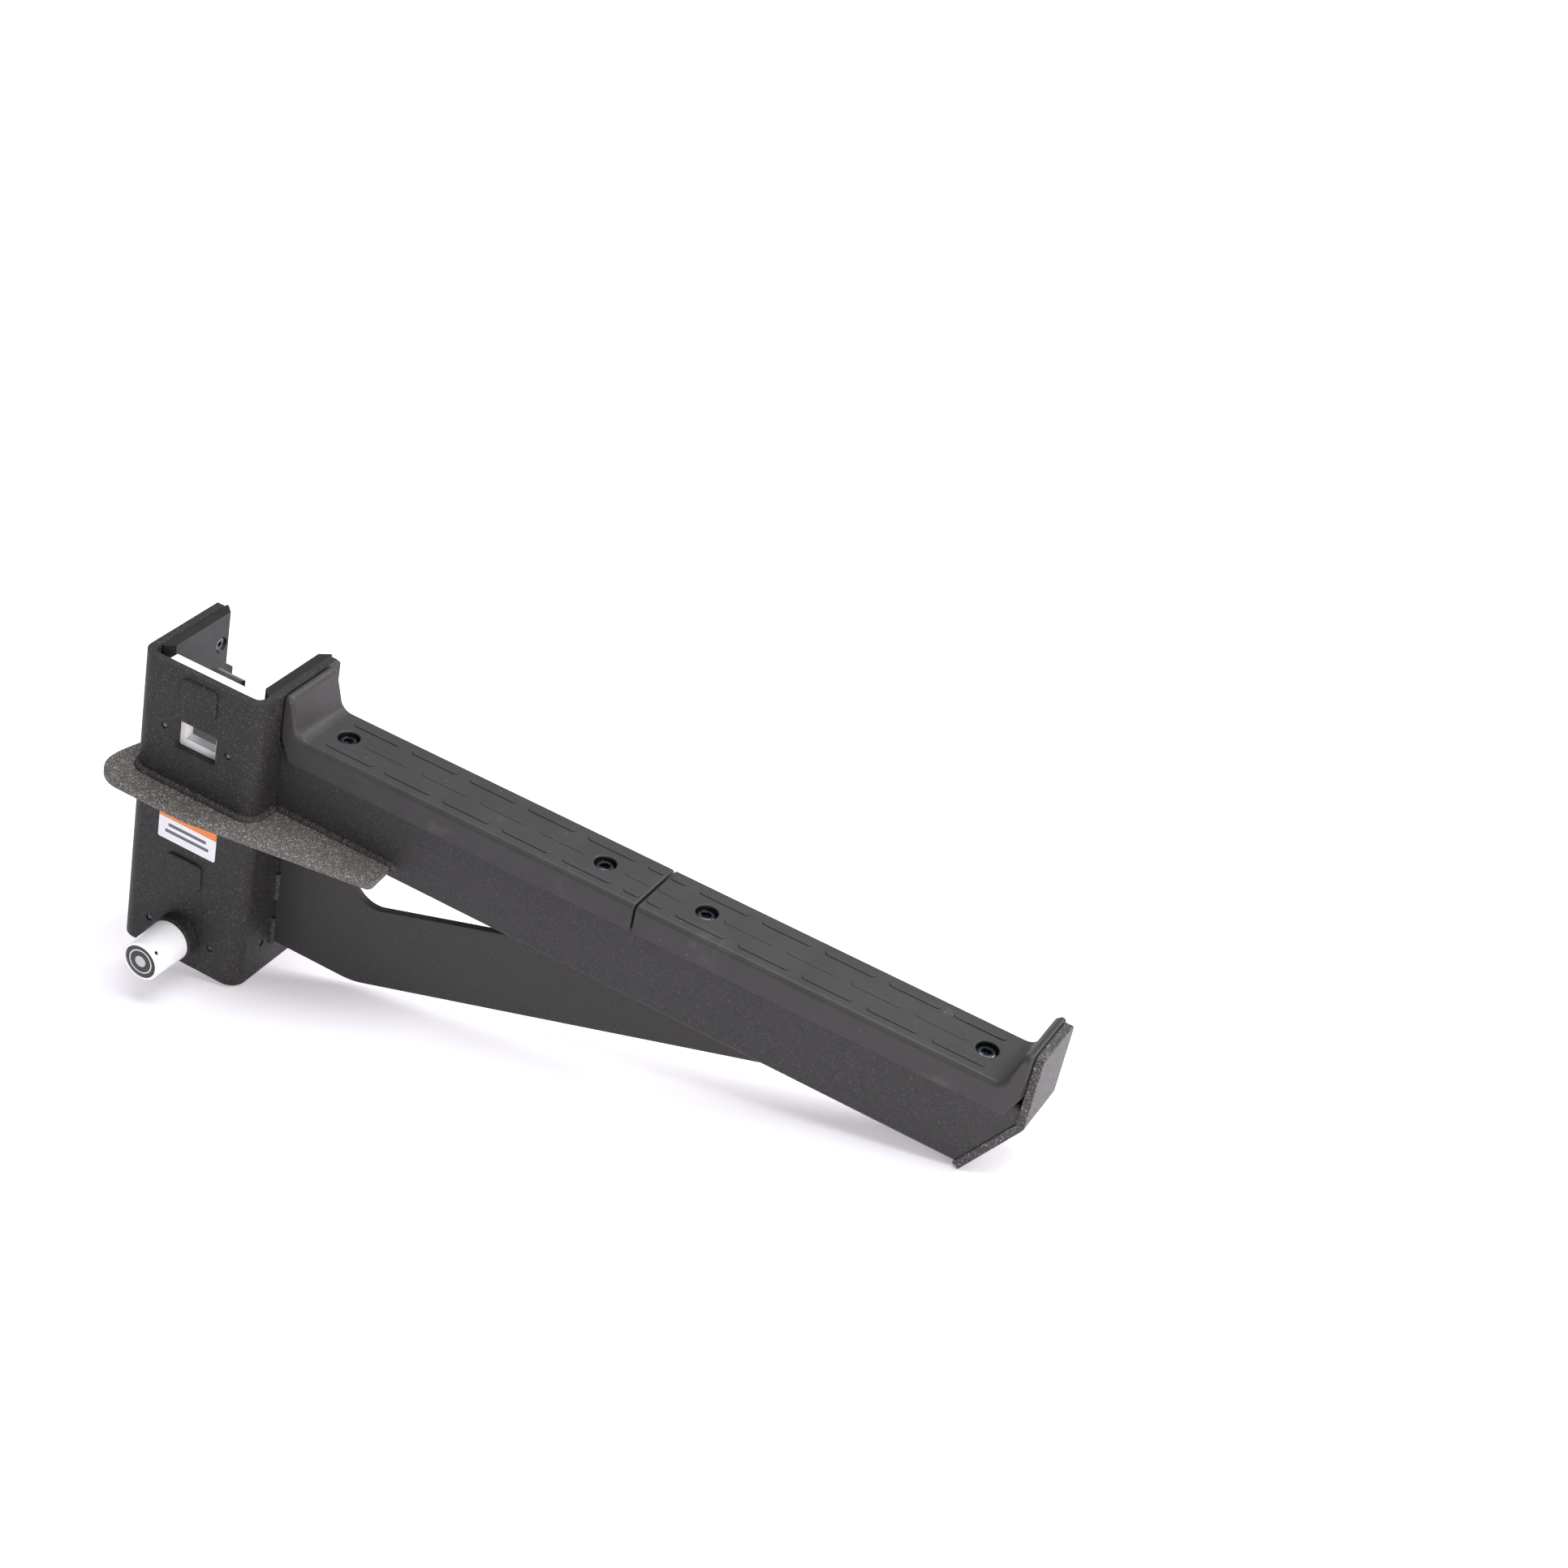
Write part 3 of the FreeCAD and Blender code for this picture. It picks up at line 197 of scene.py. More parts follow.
class Recipe(Tree):
    """The node tree of one material."""

    def __init__(self, name: str) -> None:
        """Starts an empty material.

        Args:
            name: the material's name.
        """
        self.material = bpy.data.materials.new(name)
        self.material.use_nodes = True
        self.material.node_tree.nodes.clear()
        super().__init__(self.material.node_tree)
        self.place = self.wire("ShaderNodeTexCoord", out="Object")

    def axes(self) -> tuple["Wire", "Wire", "Wire"]:
        """The point's x, y and z."""
        split = self.node("ShaderNodeSeparateXYZ", inputs={0: self.place})
        return tuple(Wire(self, socket) for socket in split.outputs)

    def noise(
        self, size: float, detail: float = 2.0, roughness: float = 0.5, stretch: Sequence[float] = (1, 1, 1)
    ) -> "Wire":
        """Smooth noise from 0 to 1.

        Args:
            size: width of a grain, in metres.
            detail: octaves.
            roughness: strength of the finer octaves.
            stretch: how much the grain is drawn out along each axis.

        Returns:
            The noise's value.
        """
        scale = [1 / (size * s) for s in stretch]
        spread = self.wire("ShaderNodeMapping", inputs={"Vector": self.place, "Scale": scale})
        inputs = {"Vector": spread, "Scale": 1.0, "Detail": detail, "Roughness": roughness}
        return self.wire("ShaderNodeTexNoise", inputs=inputs)

    def grains(self, size: float, out: str = "Distance") -> "Wire":
        """Cells of one grain each: the distance to the grain's middle, or its own random number."""
        inputs = {"Vector": self.place, "Scale": 1 / size}
        if out == "Distance":
            return self.wire("ShaderNodeTexVoronoi", inputs=inputs, out=out)
        cell = self.wire("ShaderNodeTexVoronoi", inputs=inputs, out="Color")
        return Wire(self, self.node("ShaderNodeSeparateColor", inputs={0: cell}).outputs[0])

    def blend(self, mask: Link, low: Link, high: Link) -> "Wire":
        """Mixes two colours."""
        return self.wire("ShaderNodeMix", {"data_type": "RGBA"}, {0: mask, 6: low, 7: high}, out=2)

    def bump(self, height: Link, depth: float, strength: float = 1.0) -> "Wire":
        """Relief from a height of 0 to 1."""
        return self.wire("ShaderNodeBump", inputs={"Height": height, "Distance": depth, "Strength": strength})

    def finish(self, **inputs: Link) -> Material:
        """Ends the tree in a Principled shader.

        Args:
            inputs: its sockets, with underscores for spaces.

        Returns:
            The material.
        """
        named = {name.replace("_", " "): value for name, value in inputs.items()}
        if "IOR Level" in named:
            named["Specular IOR Level"] = named.pop("IOR Level")
        shader = self.node("ShaderNodeBsdfPrincipled", inputs=named)
        self.node("ShaderNodeOutputMaterial", inputs={"Surface": shader.outputs[0]})
        return self.material


# ------------------------------------------------------------------ finishes


@dataclass(frozen=True)
class PowderCoat:
    """Textured powder coat: fine lumps with a few light flecks."""

    name: str
    base: Colour
    fleck: Colour
    grain: float
    relief: float
    fleck_share: float = 0.12
    roughness: float = 0.5

    def material(self) -> Material:
        """Builds the material.

        Returns:
            The finished material.
        """
        r = Recipe(self.name)
        lumps = r.noise(self.grain, 3.0, 0.65)
        cells = r.grains(self.grain * 0.8)
        patches = r.noise(self.grain * 60, 2.0)
        spark = r.grains(self.grain * 0.7, "Color")
        dark = tuple(0.55 * c for c in self.base)
        ground = r.blend(lumps.eased(0.32, 0.68), dark, self.base)
        fleck = (spark > 1 - self.fleck_share) * lumps.eased(0.4, 0.6)
        colour = r.blend(fleck * (0.45 + patches * 0.6), ground, self.fleck)
        gloss = self.roughness + (lumps - 0.5) * 0.35 + (patches - 0.5) * 0.12
        relief = r.bump(lumps * 0.7 + (1 - cells) * 0.3, self.relief)
        return r.finish(Base_Color=colour, Roughness=gloss, Normal=relief, IOR_Level=0.24)


@dataclass(frozen=True)
class MouldedPlastic:
    """Machined or moulded plastic with a fine skin, faint clouding, a little dust, and painted shade that darkens
    everything below a set height.
    """

    name: str
    base: Colour
    shade: Colour
    roughness: float
    relief: float = 0.00003
    dust: float = 0.0
    coat: float = 0.0
    shine: float = 0.25
    painted_shade_height: float = -1.0

    def material(self) -> Material:
        """Builds the material.

        Returns:
            The finished material.
        """
        r = Recipe(self.name)
        skin = r.noise(0.0007, 2.0, 0.6)
        clouds = r.noise(0.03, 3.0, 0.55)
        swirl = r.noise(0.012, 2.0, 0.5, (4, 1, 1))
        colour = r.blend(clouds.eased(0.3, 0.7) * 0.7 + skin * 0.3, self.shade, self.base)
        if self.dust:
            speck = (r.grains(0.0021, "Color") > 0.9965) * (r.grains(0.0021) < 0.22)
            haze = r.noise(0.05, 4.0, 0.7).eased(0.58, 0.8) * 0.10
            colour = r.blend((speck * 0.5 + haze) * self.dust, colour, (0.35, 0.34, 0.33))
        # Painted shade: below this height the colour is darkened strongly, standing in for the shade at the foot of
        # the ribs.
        if self.painted_shade_height > 0:
            colour = r.blend(r.axes()[2] < self.painted_shade_height, colour, tuple(0.22 * c for c in self.shade))
        gloss = self.roughness + (swirl - 0.5) * 0.16 + (skin - 0.5) * 0.10
        relief = r.bump(skin, self.relief)
        return r.finish(Base_Color=colour, Roughness=gloss, Normal=relief, Coat_Weight=self.coat, IOR_Level=self.shine)


@dataclass(frozen=True)
class BareMetal:
    """Metal with fine machining marks."""

    name: str
    base: Colour
    tint: Colour
    roughness: float
    metallic: float = 1.0

    def material(self) -> Material:
        """Builds the material.

        Returns:
            The finished material.
        """
        r = Recipe(self.name)
        marks = r.noise(0.0004, 2.0, 0.6, (1, 6, 1))
        bloom = r.noise(0.004, 3.0, 0.6)
        colour = r.blend(bloom.eased(0.35, 0.7), self.base, self.tint)
        gloss = self.roughness + (marks - 0.5) * 0.18 + (bloom - 0.5) * 0.1
        relief = r.bump(marks, 0.00002)
        return r.finish(Base_Color=colour, Roughness=gloss, Normal=relief, Metallic=self.metallic)


@dataclass(frozen=True)
class WebLabel:
    """White vinyl with an orange header and plain grey bars."""

    name: str
    box: tuple[Vector, Vector]
    header: float = 0.26
    paper: Colour = (0.80, 0.80, 0.84)
    orange: Colour = (0.78, 0.23, 0.035)
    ink: Colour = (0.10, 0.10, 0.13)

    def material(self) -> Material:
        """Builds the material.

        Returns:
            The finished material.
        """
        r = Recipe(self.name)
        low, high = self.box
        x, _, z = r.axes()
        across = (x - low.x) / (high.x - low.x)
        up = (z - low.z) / (high.z - low.z)
        band = (up > 1 - self.header) * 1.0
        bars = None
        for level, left, right in ((0.53, 0.17, 0.83), (0.30, 0.12, 0.88)):
            bar = (abs(up - level) < 0.055) * (abs(across - (left + right) / 2) < (right - left) / 2)
            bars = bar if bars is None else bars + bar
        colour = r.blend(bars, r.blend(band, self.paper, self.orange), self.ink)
        skin = r.noise(0.002, 2.0)
        return r.finish(Base_Color=colour, Roughness=0.32 + skin * 0.12, Normal=r.bump(skin, 0.00002))


@dataclass(frozen=True)
class SideDecal:
    """Dark vinyl with a row of plain slanted light bars."""

    name: str
    box: tuple[Vector, Vector]
    ground: Colour = (0.022, 0.022, 0.025)
    light: Colour = (0.62, 0.60, 0.63)
    pitch: float = 0.0185
    lean: float = 0.35

    def material(self) -> Material:
        """Builds the material.

        Returns:
            The finished material.
        """
        r = Recipe(self.name)
        low, high = self.box
        middle = (low + high) / 2
        x, _, z = r.axes()
        along = x - middle.x
        rise = z - middle.z
        slid = (along - rise * self.lean) / self.pitch
        phase = abs(slid - slid.maths("ROUND"))
        inside = (abs(along) < (high.x - low.x) * 0.42) * (abs(rise) < (high.z - low.z) * 0.27)
        bars = inside * (phase < 0.33)
        colour = r.blend(bars, self.ground, self.light)
        skin = r.noise(0.0015, 2.0)
        return r.finish(Base_Color=colour, Roughness=0.34 + skin * 0.14, Normal=r.bump(skin, 0.00002))


@dataclass(frozen=True)
class KnobInlay:
    """Black inlay with one plain light ring and a plain centre disc."""

    name: str
    black: Colour = (0.014, 0.014, 0.016)
    light: Colour = (0.62, 0.62, 0.62)
    ring: float = 0.0096
    ring_width: float = 0.0011
    disc: float = 0.0046

    def material(self) -> Material:
        """Builds the material.

        Returns:
            The finished material.
        """
        r = Recipe(self.name)
        x, _, z = r.axes()
        radius = (x * x + z * z) ** 0.5
        band = abs(radius - self.ring) < self.ring_width / 2
        disc = radius < self.disc
        colour = r.blend(band + disc * 0.85, self.black, self.light)
        skin = r.noise(0.001, 2.0)
        return r.finish(Base_Color=colour, Roughness=0.22 + skin * 0.1, Normal=r.bump(skin, 0.00001))


class Finish(Enum):
    """The finishes that the pieces choose from."""

    # These six copies are one powder coat; their differing brightness and flecks are painted light and shade, set part
    # by part: the frame copy is darkest for the shaded channel web, and the wrap plate's copy is lightest, with bright
    # flecks, for its top-lit face (its deeper relief is texture).
    FRAME = PowderCoat("frame_powder_coat", (0.027, 0.0255, 0.0255), (0.12, 0.112, 0.108), 0.0010, 0.00030, 0.10)
    ARM = PowderCoat("arm_powder_coat", (0.040, 0.038, 0.039), (0.10, 0.095, 0.096), 0.0008, 0.00012, 0.07)
    BRACE = PowderCoat("brace_powder_coat", (0.046, 0.044, 0.044), (0.10, 0.096, 0.096), 0.0007, 0.00010, 0.05)
    COARSE = PowderCoat("gusset_powder_coat", (0.118, 0.110, 0.104), (0.46, 0.44, 0.40), 0.0010, 0.00042, 0.26)
    TIP = PowderCoat("tip_powder_coat", (0.052, 0.049, 0.050), (0.26, 0.25, 0.25), 0.0010, 0.00034, 0.20)
    WELD = PowderCoat("weld_powder_coat", (0.045, 0.042, 0.040), (0.16, 0.15, 0.14), 0.0010, 0.00020, 0.10)
    PAD = MouldedPlastic("pad_charcoal_plastic", (0.040, 0.038, 0.0385), (0.033, 0.0315, 0.032), 0.46, 0.00004, 0.8)
    # Recess walls: glossier plastic whose colour, far darker than the pad's, is painted shade in the deep bolt
    # recesses.
    RECESS = MouldedPlastic("recess_gloss_plastic", (0.014, 0.014, 0.015), (0.010, 0.010, 0.011), 0.10, shine=0.6)
    LINER_WHITE = MouldedPlastic("liner_white_plastic", (0.80, 0.79, 0.80), (0.70, 0.69, 0.70), 0.38)
    LINER_BLACK = MouldedPlastic(
        "liner_black_plastic", (0.019, 0.018, 0.018), (0.014, 0.013, 0.013), 0.40, 0.00003, 0.4
    )
    CAP = MouldedPlastic("cap_black_plastic", (0.012, 0.012, 0.012), (0.008, 0.008, 0.008), 0.16, 0.00001, shine=0.5)
    KNOB = MouldedPlastic("knob_white_plastic", (0.94, 0.94, 0.95), (0.90, 0.90, 0.91), 0.16, 0.00001, 0.0, 0.4, 0.5)
    BLACK_OXIDE = BareMetal("black_oxide_steel", (0.05, 0.055, 0.065), (0.13, 0.15, 0.19), 0.24)
    ZINC = BareMetal("zinc_plated_steel", (0.52, 0.53, 0.55), (0.66, 0.66, 0.66), 0.28)
    BRONZE = BareMetal("bushing_bronze", (0.44, 0.29, 0.14), (0.52, 0.36, 0.19), 0.34)

    def made(self) -> Material:
        """The finish's material, built the first time it is asked for."""
        found = bpy.data.materials.get(self.value.name)
        return found or self.value.material()


# ------------------------------------------------------------------ mesh helpers


def show(name: str, mesh: Mesh) -> Object:
    """Puts a mesh into the scene as an object at the origin.

    Args:
        name: the piece's name.
        mesh: its mesh.

    Returns:
        The new object.
    """
    piece = bpy.data.objects.new(name, mesh)
    bpy.context.scene.collection.objects.link(piece)
    return piece


def from_bmesh(name: str, shape: BMesh) -> Object:
    """Turns a bmesh into an object and frees it."""
    bmesh.ops.recalc_face_normals(shape, faces=shape.faces)
    mesh = bpy.data.meshes.new(name)
    shape.to_mesh(mesh)
    shape.free()
    return show(name, mesh)


def settle(piece: Object, material: Material | None = None) -> Object:
    """Applies a piece's modifiers, so that a plain mesh at the origin is left.

    Args:
        piece: the object.
        material: its only material, or None to keep what it has.

    Returns:
        The same object.
    """
    bpy.context.view_layer.update()
    shape = piece.evaluated_get(bpy.context.evaluated_depsgraph_get())
    mesh = bpy.data.meshes.new_from_object(shape)
    piece.modifiers.clear()
    if piece.type != "MESH":
        name = piece.name
        bpy.data.objects.remove(piece)
        piece = show(name, mesh)
    else:
        piece.data = mesh
    if material:
        for face in piece.data.polygons:
            face.material_index = 0
        piece.data.materials.clear()
        piece.data.materials.append(material)
    return piece


def smooth(piece: Object, angle: float = 38.0) -> None:
    """Shades a piece smoothly between its sharp edges, with flat faces kept flat."""
    piece.data.shade_smooth()
    piece.data.set_sharp_from_angle(angle=math.radians(angle))
    even = piece.modifiers.new("even_faces", "WEIGHTED_NORMAL")
    even.keep_sharp = True
    settle(piece)


def stand_for(piece: Object, slot: str, body: str, *nodes: str) -> None:
    """Args:
        piece: the object.
        slot: the record's material slot; not used.
        body: the CAD body that it moves with.
        nodes: the CAD nodes that it stands for.
    """
    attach(piece, body)
    if nodes:
        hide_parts(*nodes)
    LOG.info("%s: %d faces, on %s", piece.name, len(piece.data.polygons), body)


def dress(node: str, finish: Finish) -> None:
    """Gives a CAD node a finish through its object's own slot."""
    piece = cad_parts[node]
    if not piece.material_slots:
        piece.data.materials.append(None)
    for slot in piece.material_slots:
        slot.link = "OBJECT"
        slot.material = finish.made()


def roomy(sharp: set[BMEdge], radius: float) -> list[BMEdge]:
    """The sharp edges that have room to be set back without running into a neighbour.

    Args:
        sharp: the edges to choose from.
        radius: how far each would be set back.

    Returns:
        Those that can be rounded.
    """
    chosen = set(sharp)
    for edge in sharp:
        for vert in edge.verts:
            beside = [e for e in vert.link_edges if e not in sharp]
            if any(e.calc_length() < ROOM_BESIDE * radius for e in beside):
                chosen.discard(edge)
    return list(chosen)


def rounded_copy(
    node: str, name: str, radius: float, finish: Finish, steps: int = 2, least: float = 24.0, clamp: bool = True
) -> Object:
    """A copy of a CAD node whose sharp edges are rounded.

    Args:
        node: the CAD node.
        name: the new piece's name.
        radius: how far each edge is set back, in metres.
        finish: its finish.
        steps: segments across each rounded edge.
        least: the smallest angle between faces that counts as an edge, in degrees.
        clamp: whether short edges hold the radius back everywhere.

    Returns:
        The new object.
    """
    shape = bmesh.new()
    shape.from_mesh(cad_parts[node].data)
    bmesh.ops.remove_doubles(shape, verts=shape.verts, dist=WELD_DISTANCE)
    bmesh.ops.dissolve_limit(
        shape, angle_limit=math.radians(FLAT_ANGLE), verts=shape.verts, edges=shape.edges, delimit=set()
    )
    sharp = {e for e in shape.edges if len(e.link_faces) == 2 and e.calc_face_angle(0) > math.radians(least)}
    bmesh.ops.bevel(
        shape, geom=list(sharp) if clamp else roomy(sharp, radius), offset=radius, offset_type="OFFSET",
        segments=steps, profile=0.5, affect="EDGES", clamp_overlap=clamp, loop_slide=True,
    )
    piece = from_bmesh(name, shape)
    smooth(piece)
    piece.data.materials.append(finish.made())
    return piece


def rounded_slab(name: str, low: Vector, high: Vector, corner: float, steps: int = 6) -> Object:
    """A thin upright plate across X and Z, with round corners.

    Args:
        name: the piece's name.
        low: its lowest corner.
        high: its highest corner.
        corner: the corners' radius.
        steps: segments in each corner.

    Returns:
        The new object.
    """
    shape = bmesh.new()
    outline = []
    middle = (low + high) / 2
    half_x, half_z = (high.x - low.x) / 2 - corner, (high.z - low.z) / 2 - corner
    for quarter, (side_x, side_z) in enumerate(((1, 1), (-1, 1), (-1, -1), (1, -1))):
        for step in range(steps + 1):
            turn = math.radians(90 * (quarter + step / steps))
            x = middle.x + side_x * half_x + corner * math.cos(turn)
            z = middle.z + side_z * half_z + corner * math.sin(turn)
            outline.append(shape.verts.new((x, low.y, z)))
    face = shape.faces.new(outline)
    raised = bmesh.ops.extrude_face_region(shape, geom=[face])["geom"]
    lifted = [v for v in raised if isinstance(v, BMVert)]
    bmesh.ops.translate(shape, verts=lifted, vec=(0, high.y - low.y, 0))
    return from_bmesh(name, shape)


def ring(shape: BMesh, radius: float, z: float, steps: int) -> list[BMVert]:
    """A ring of vertices round the Z axis."""
    turns = [math.tau * i / steps for i in range(steps)]
    return [shape.verts.new((radius * math.cos(t), radius * math.sin(t), z)) for t in turns]


def bridge(shape: BMesh, rings: Sequence[Sequence[BMVert]]) -> None:
    """Joins each ring to the next with four-sided faces."""
    for one, two in zip(rings, rings[1:]):
        for i, vert in enumerate(one):
            after = (i + 1) % len(one)
            shape.faces.new((vert, one[after], two[after], two[i]))


def socketed(name: str, outline: Sequence[tuple[float, float]], key: float, floor_level: float, steps: int) -> Object:
    """A screw or bolt turned about the Z axis, with a six-sided socket in its head.

    Args:
        name: the template's name.
        outline: (radius, z) points from the tip to the socket's rim.
        key: the socket's radius.
        floor_level: height of the socket's floor.
        steps: facets round the axis, a multiple of six.

    Returns:
        The template object.
    """
    shape = bmesh.new()
    rings = [ring(shape, radius, z, steps) for radius, z in outline]
    floor = ring(shape, key, floor_level, 6)
    shape.faces.new(rings[0])
    bridge(shape, rings)
    share = steps // 6
    for side in range(6):
        run = [rings[-1][(side * share + i) % steps] for i in range(share + 1)]
        shape.faces.new([*run, floor[(side + 1) % 6], floor[side]])
    shape.faces.new(floor)
    return from_bmesh(name, shape)


def turned(name: str, profile: Sequence[tuple[float, float]], steps: int = 72) -> Object:
    """A solid of revolution about the Y axis through the origin.

    Args:
        name: the piece's name.
        profile: (radius, y) points in order; a radius of 0 closes on the axis.
        steps: facets round the axis.

    Returns:
        The new object.
    """
    shape = bmesh.new()
    rings = []
    for radius, y in profile:
        if radius == 0:
            rings.append([shape.verts.new((0, y, 0))])
            continue
        turns = [math.tau * i / steps for i in range(steps)]
        rings.append([shape.verts.new((radius * math.cos(t), y, radius * math.sin(t))) for t in turns])
    pairs = list(zip(rings, rings[1:]))
    if profile[0][0] and profile[-1][0]:
        pairs.append((rings[-1], rings[0]))
    for one, two in pairs:
        for i in range(steps):
            after = (i + 1) % steps
            corners = [one[i % len(one)], one[after % len(one)], two[after % len(two)], two[i % len(two)]]
            shape.faces.new(list(dict.fromkeys(corners)))
    return from_bmesh(name, shape)


# ------------------------------------------------------------------ geometry node trees


class Growth(Tree):
    """A Geometry Nodes tree with named inputs, run once and turned into a plain mesh."""

    KINDS = {float: "NodeSocketFloat", int: "NodeSocketInt", Vector: "NodeSocketVector"}

    def __init__(self, name: str, **sizes: object) -> None:
        """Starts a tree.

        Args:
            name: the tree's name.
            sizes: its inputs, with underscores for spaces, and their values.
        """
        self.group = bpy.data.node_groups.new(name, "GeometryNodeTree")
        super().__init__(self.group)
        self.values = {}
        face = self.group.interface
        face.new_socket("Geometry", in_out="OUTPUT", socket_type="NodeSocketGeometry")
        face.new_socket("Geometry", in_out="INPUT", socket_type="NodeSocketGeometry")
        for key, value in sizes.items():
            kind = self.KINDS.get(type(value))
            if isinstance(value, Material):
                kind = "NodeSocketMaterial"
            elif isinstance(value, Object):
                kind = "NodeSocketObject"
            title = key.replace("_", " ").title()
            socket = face.new_socket(title, in_out="INPUT", socket_type=kind)
            self.values[socket.identifier] = value
        self.given = self.node("NodeGroupInput")

    def size(self, title: str) -> Wire:
        """One of the tree's named inputs."""
        return Wire(self, self.given.outputs[title])

    def close(self, geometry: NodeSocket) -> None:
        """Ends the tree: instances made real, material set."""
        real = self.node("GeometryNodeRealizeInstances", inputs={"Geometry": geometry})
        painted = self.node(
            "GeometryNodeSetMaterial", inputs={"Geometry": real.outputs[0], "Material": self.size("Material")}
        )
        self.node("NodeGroupOutput", inputs={0: painted.outputs[0]})

    def grow(self, piece: Object, material: Material) -> Object:
        """Runs the tree on an object and leaves a plain mesh.

        Args:
            piece: the object whose geometry goes in.
            material: the finish of the result.

        Returns:
            The object with the result.
        """
        modifier = piece.modifiers.new(self.group.name, "NODES")
        modifier.node_group = self.group
        for identifier, value in self.values.items():
            modifier[identifier] = value
        return settle(piece, material)


def repeated(name: str, template: Object, start: Vector, step: Vector, count: int, material: Material) -> Object:
    """A row of equal pieces.

    Args:
        name: the row's name.
        template: the piece that is repeated, modelled at the origin.
        start: the first one's place.
        step: from each to the next.
        count: how many.
        material: their material.

    Returns:
        One object that holds the whole row.
    """
    g = Growth("row_of_pieces", piece=template, start=start, step=step, count=count, material=material)
    line = g.node(
        "GeometryNodeMeshLine", {"mode": "OFFSET"},
        {"Count": g.size("Count"), "Start Location": g.size("Start"), "Offset": g.size("Step")},
    )
    model = g.node("GeometryNodeObjectInfo", inputs={"Object": g.size("Piece")})
    row = g.node(
        "GeometryNodeInstanceOnPoints", inputs={"Points": line.outputs[0], "Instance": model.outputs["Geometry"]}
    )
    g.close(row.outputs[0])
    return g.grow(show(name, bpy.data.meshes.new(name)), material)


def scattered(name: str, template: Object, places: Iterable[tuple[Vector, Vector]],
              material: Material, seed: int) -> Object:
    """Equal fasteners at given places, each turned by its own amount about its axis.

    Args:
        name: the group's name.
        template: the fastener, with its head towards +Z.
        places: (position, direction of the head) of each.
        material: their material.
        seed: seed of the turns.

    Returns:
        One object that holds them all.
    """
    spots = list(places)
    mesh = bpy.data.meshes.new(name)
    mesh.from_pydata([tuple(p) for p, _ in spots], [], [])
    facing = mesh.attributes.new("facing", "FLOAT_VECTOR", "POINT")
    for item, (_, way) in zip(facing.data, spots):
        item.vector = way
    g = Growth("fasteners", piece=template, turn_seed=seed, material=material)
    way = g.wire("GeometryNodeInputNamedAttribute", {"data_type": "FLOAT_VECTOR"}, {"Name": "facing"})
    upright = g.node("FunctionNodeAlignRotationToVector", {"axis": "Z"}, {"Vector": way})
    turn = g.wire(
        "FunctionNodeRandomValue", {"data_type": "FLOAT"}, {2: 0.0, 3: 6.28, "Seed": g.size("Turn Seed")}, 1
    )
    spin = g.node("FunctionNodeAxisAngleToRotation", inputs={"Axis": (0, 0, 1), "Angle": turn})
    turned_head = g.node(
        "FunctionNodeRotateRotation", {"rotation_space": "LOCAL"}, {0: upright.outputs[0], 1: spin.outputs[0]}
    )
    model = g.node("GeometryNodeObjectInfo", inputs={"Object": g.size("Piece")})
    heads = g.node(
        "GeometryNodeInstanceOnPoints",
        inputs={
            "Points": g.given.outputs[0], "Instance": model.outputs["Geometry"], "Rotation": turned_head.outputs[0],
        },
    )
    g.close(heads.outputs[0])
    return g.grow(show(name, mesh), material)


def fasten(name: str, template: Object, places: Iterable[tuple[Vector, Vector]], seed: int, node: str) -> None:
    """Sets a fastener at given places, in place of a CAD node, and takes the template away.

    Args:
        name: the group's name.
        template: the fastener, with its head towards +Z.
        places: (position, direction of the head) of each.
        seed: seed of their turns.
        node: the CAD node that the group stands for.
    """
    group = scattered(name, template, places, Finish.BLACK_OXIDE.made(), seed)
    bpy.data.objects.remove(template)
    smooth(group, FASTENER_CREASE)
    stand_for(group, "black_oxide", FRAME_BODY, node)


def weld_bead(name: str, path: Sequence[Vector], radius: float, pitch: float, ripple: float, seed: float,
              material: Material) -> Object:
    """A rippled weld bead along a path.

    Args:
        name: the bead's name.
        path: points along its root.
        radius: its radius, in metres.
        pitch: distance between ripples.
        ripple: depth of the ripples as a share of the radius.
        seed: shifts the unevenness, so no two beads are alike.
        material: its material.

    Returns:
        The bead.
    """
    curve = bpy.data.curves.new(name, "CURVE")
    curve.dimensions = "3D"
    line = curve.splines.new("POLY")
    line.points.add(len(path) - 1)
    for point, place in zip(line.points, path):
        point.co = (*place, 1.0)
    seam = bpy.data.objects.new(name, curve)
    bpy.context.scene.collection.objects.link(seam)
    g = Growth("weld_bead", bead_radius=radius, ripple_pitch=pitch, ripple_depth=ripple, shift=seed, material=material)
    fine = g.node(
        "GeometryNodeResampleCurve", {"mode": "LENGTH"},
        {"Curve": g.given.outputs[0], "Length": g.size("Ripple Pitch") / BEAD_SAMPLES},
    )
    length = g.wire("GeometryNodeSplineParameter", out="Length")
    wave = (length / g.size("Ripple Pitch") * math.tau).maths("SINE")
    wander = g.wire(
        "ShaderNodeTexNoise", {"noise_dimensions": "1D"},
        {"W": length * BEAD_WANDER + g.size("Shift"), "Scale": 1.0, "Detail": 2.0},
    )
    swell = 1.0 + wave * g.size("Ripple Depth") + (wander - 0.5) * 0.5
    section = g.node(
        "GeometryNodeCurvePrimitiveCircle", inputs={"Resolution": BEAD_SIDES, "Radius": g.size("Bead Radius")}
    )
    tube = g.node(
        "GeometryNodeCurveToMesh",
        inputs={"Curve": fine.outputs[0], "Profile Curve": section.outputs[0], "Scale": swell, "Fill Caps": True},
    )
    g.close(tube.outputs[0])
    bead = g.grow(seam, material)
    bead.data.shade_smooth()
    return bead


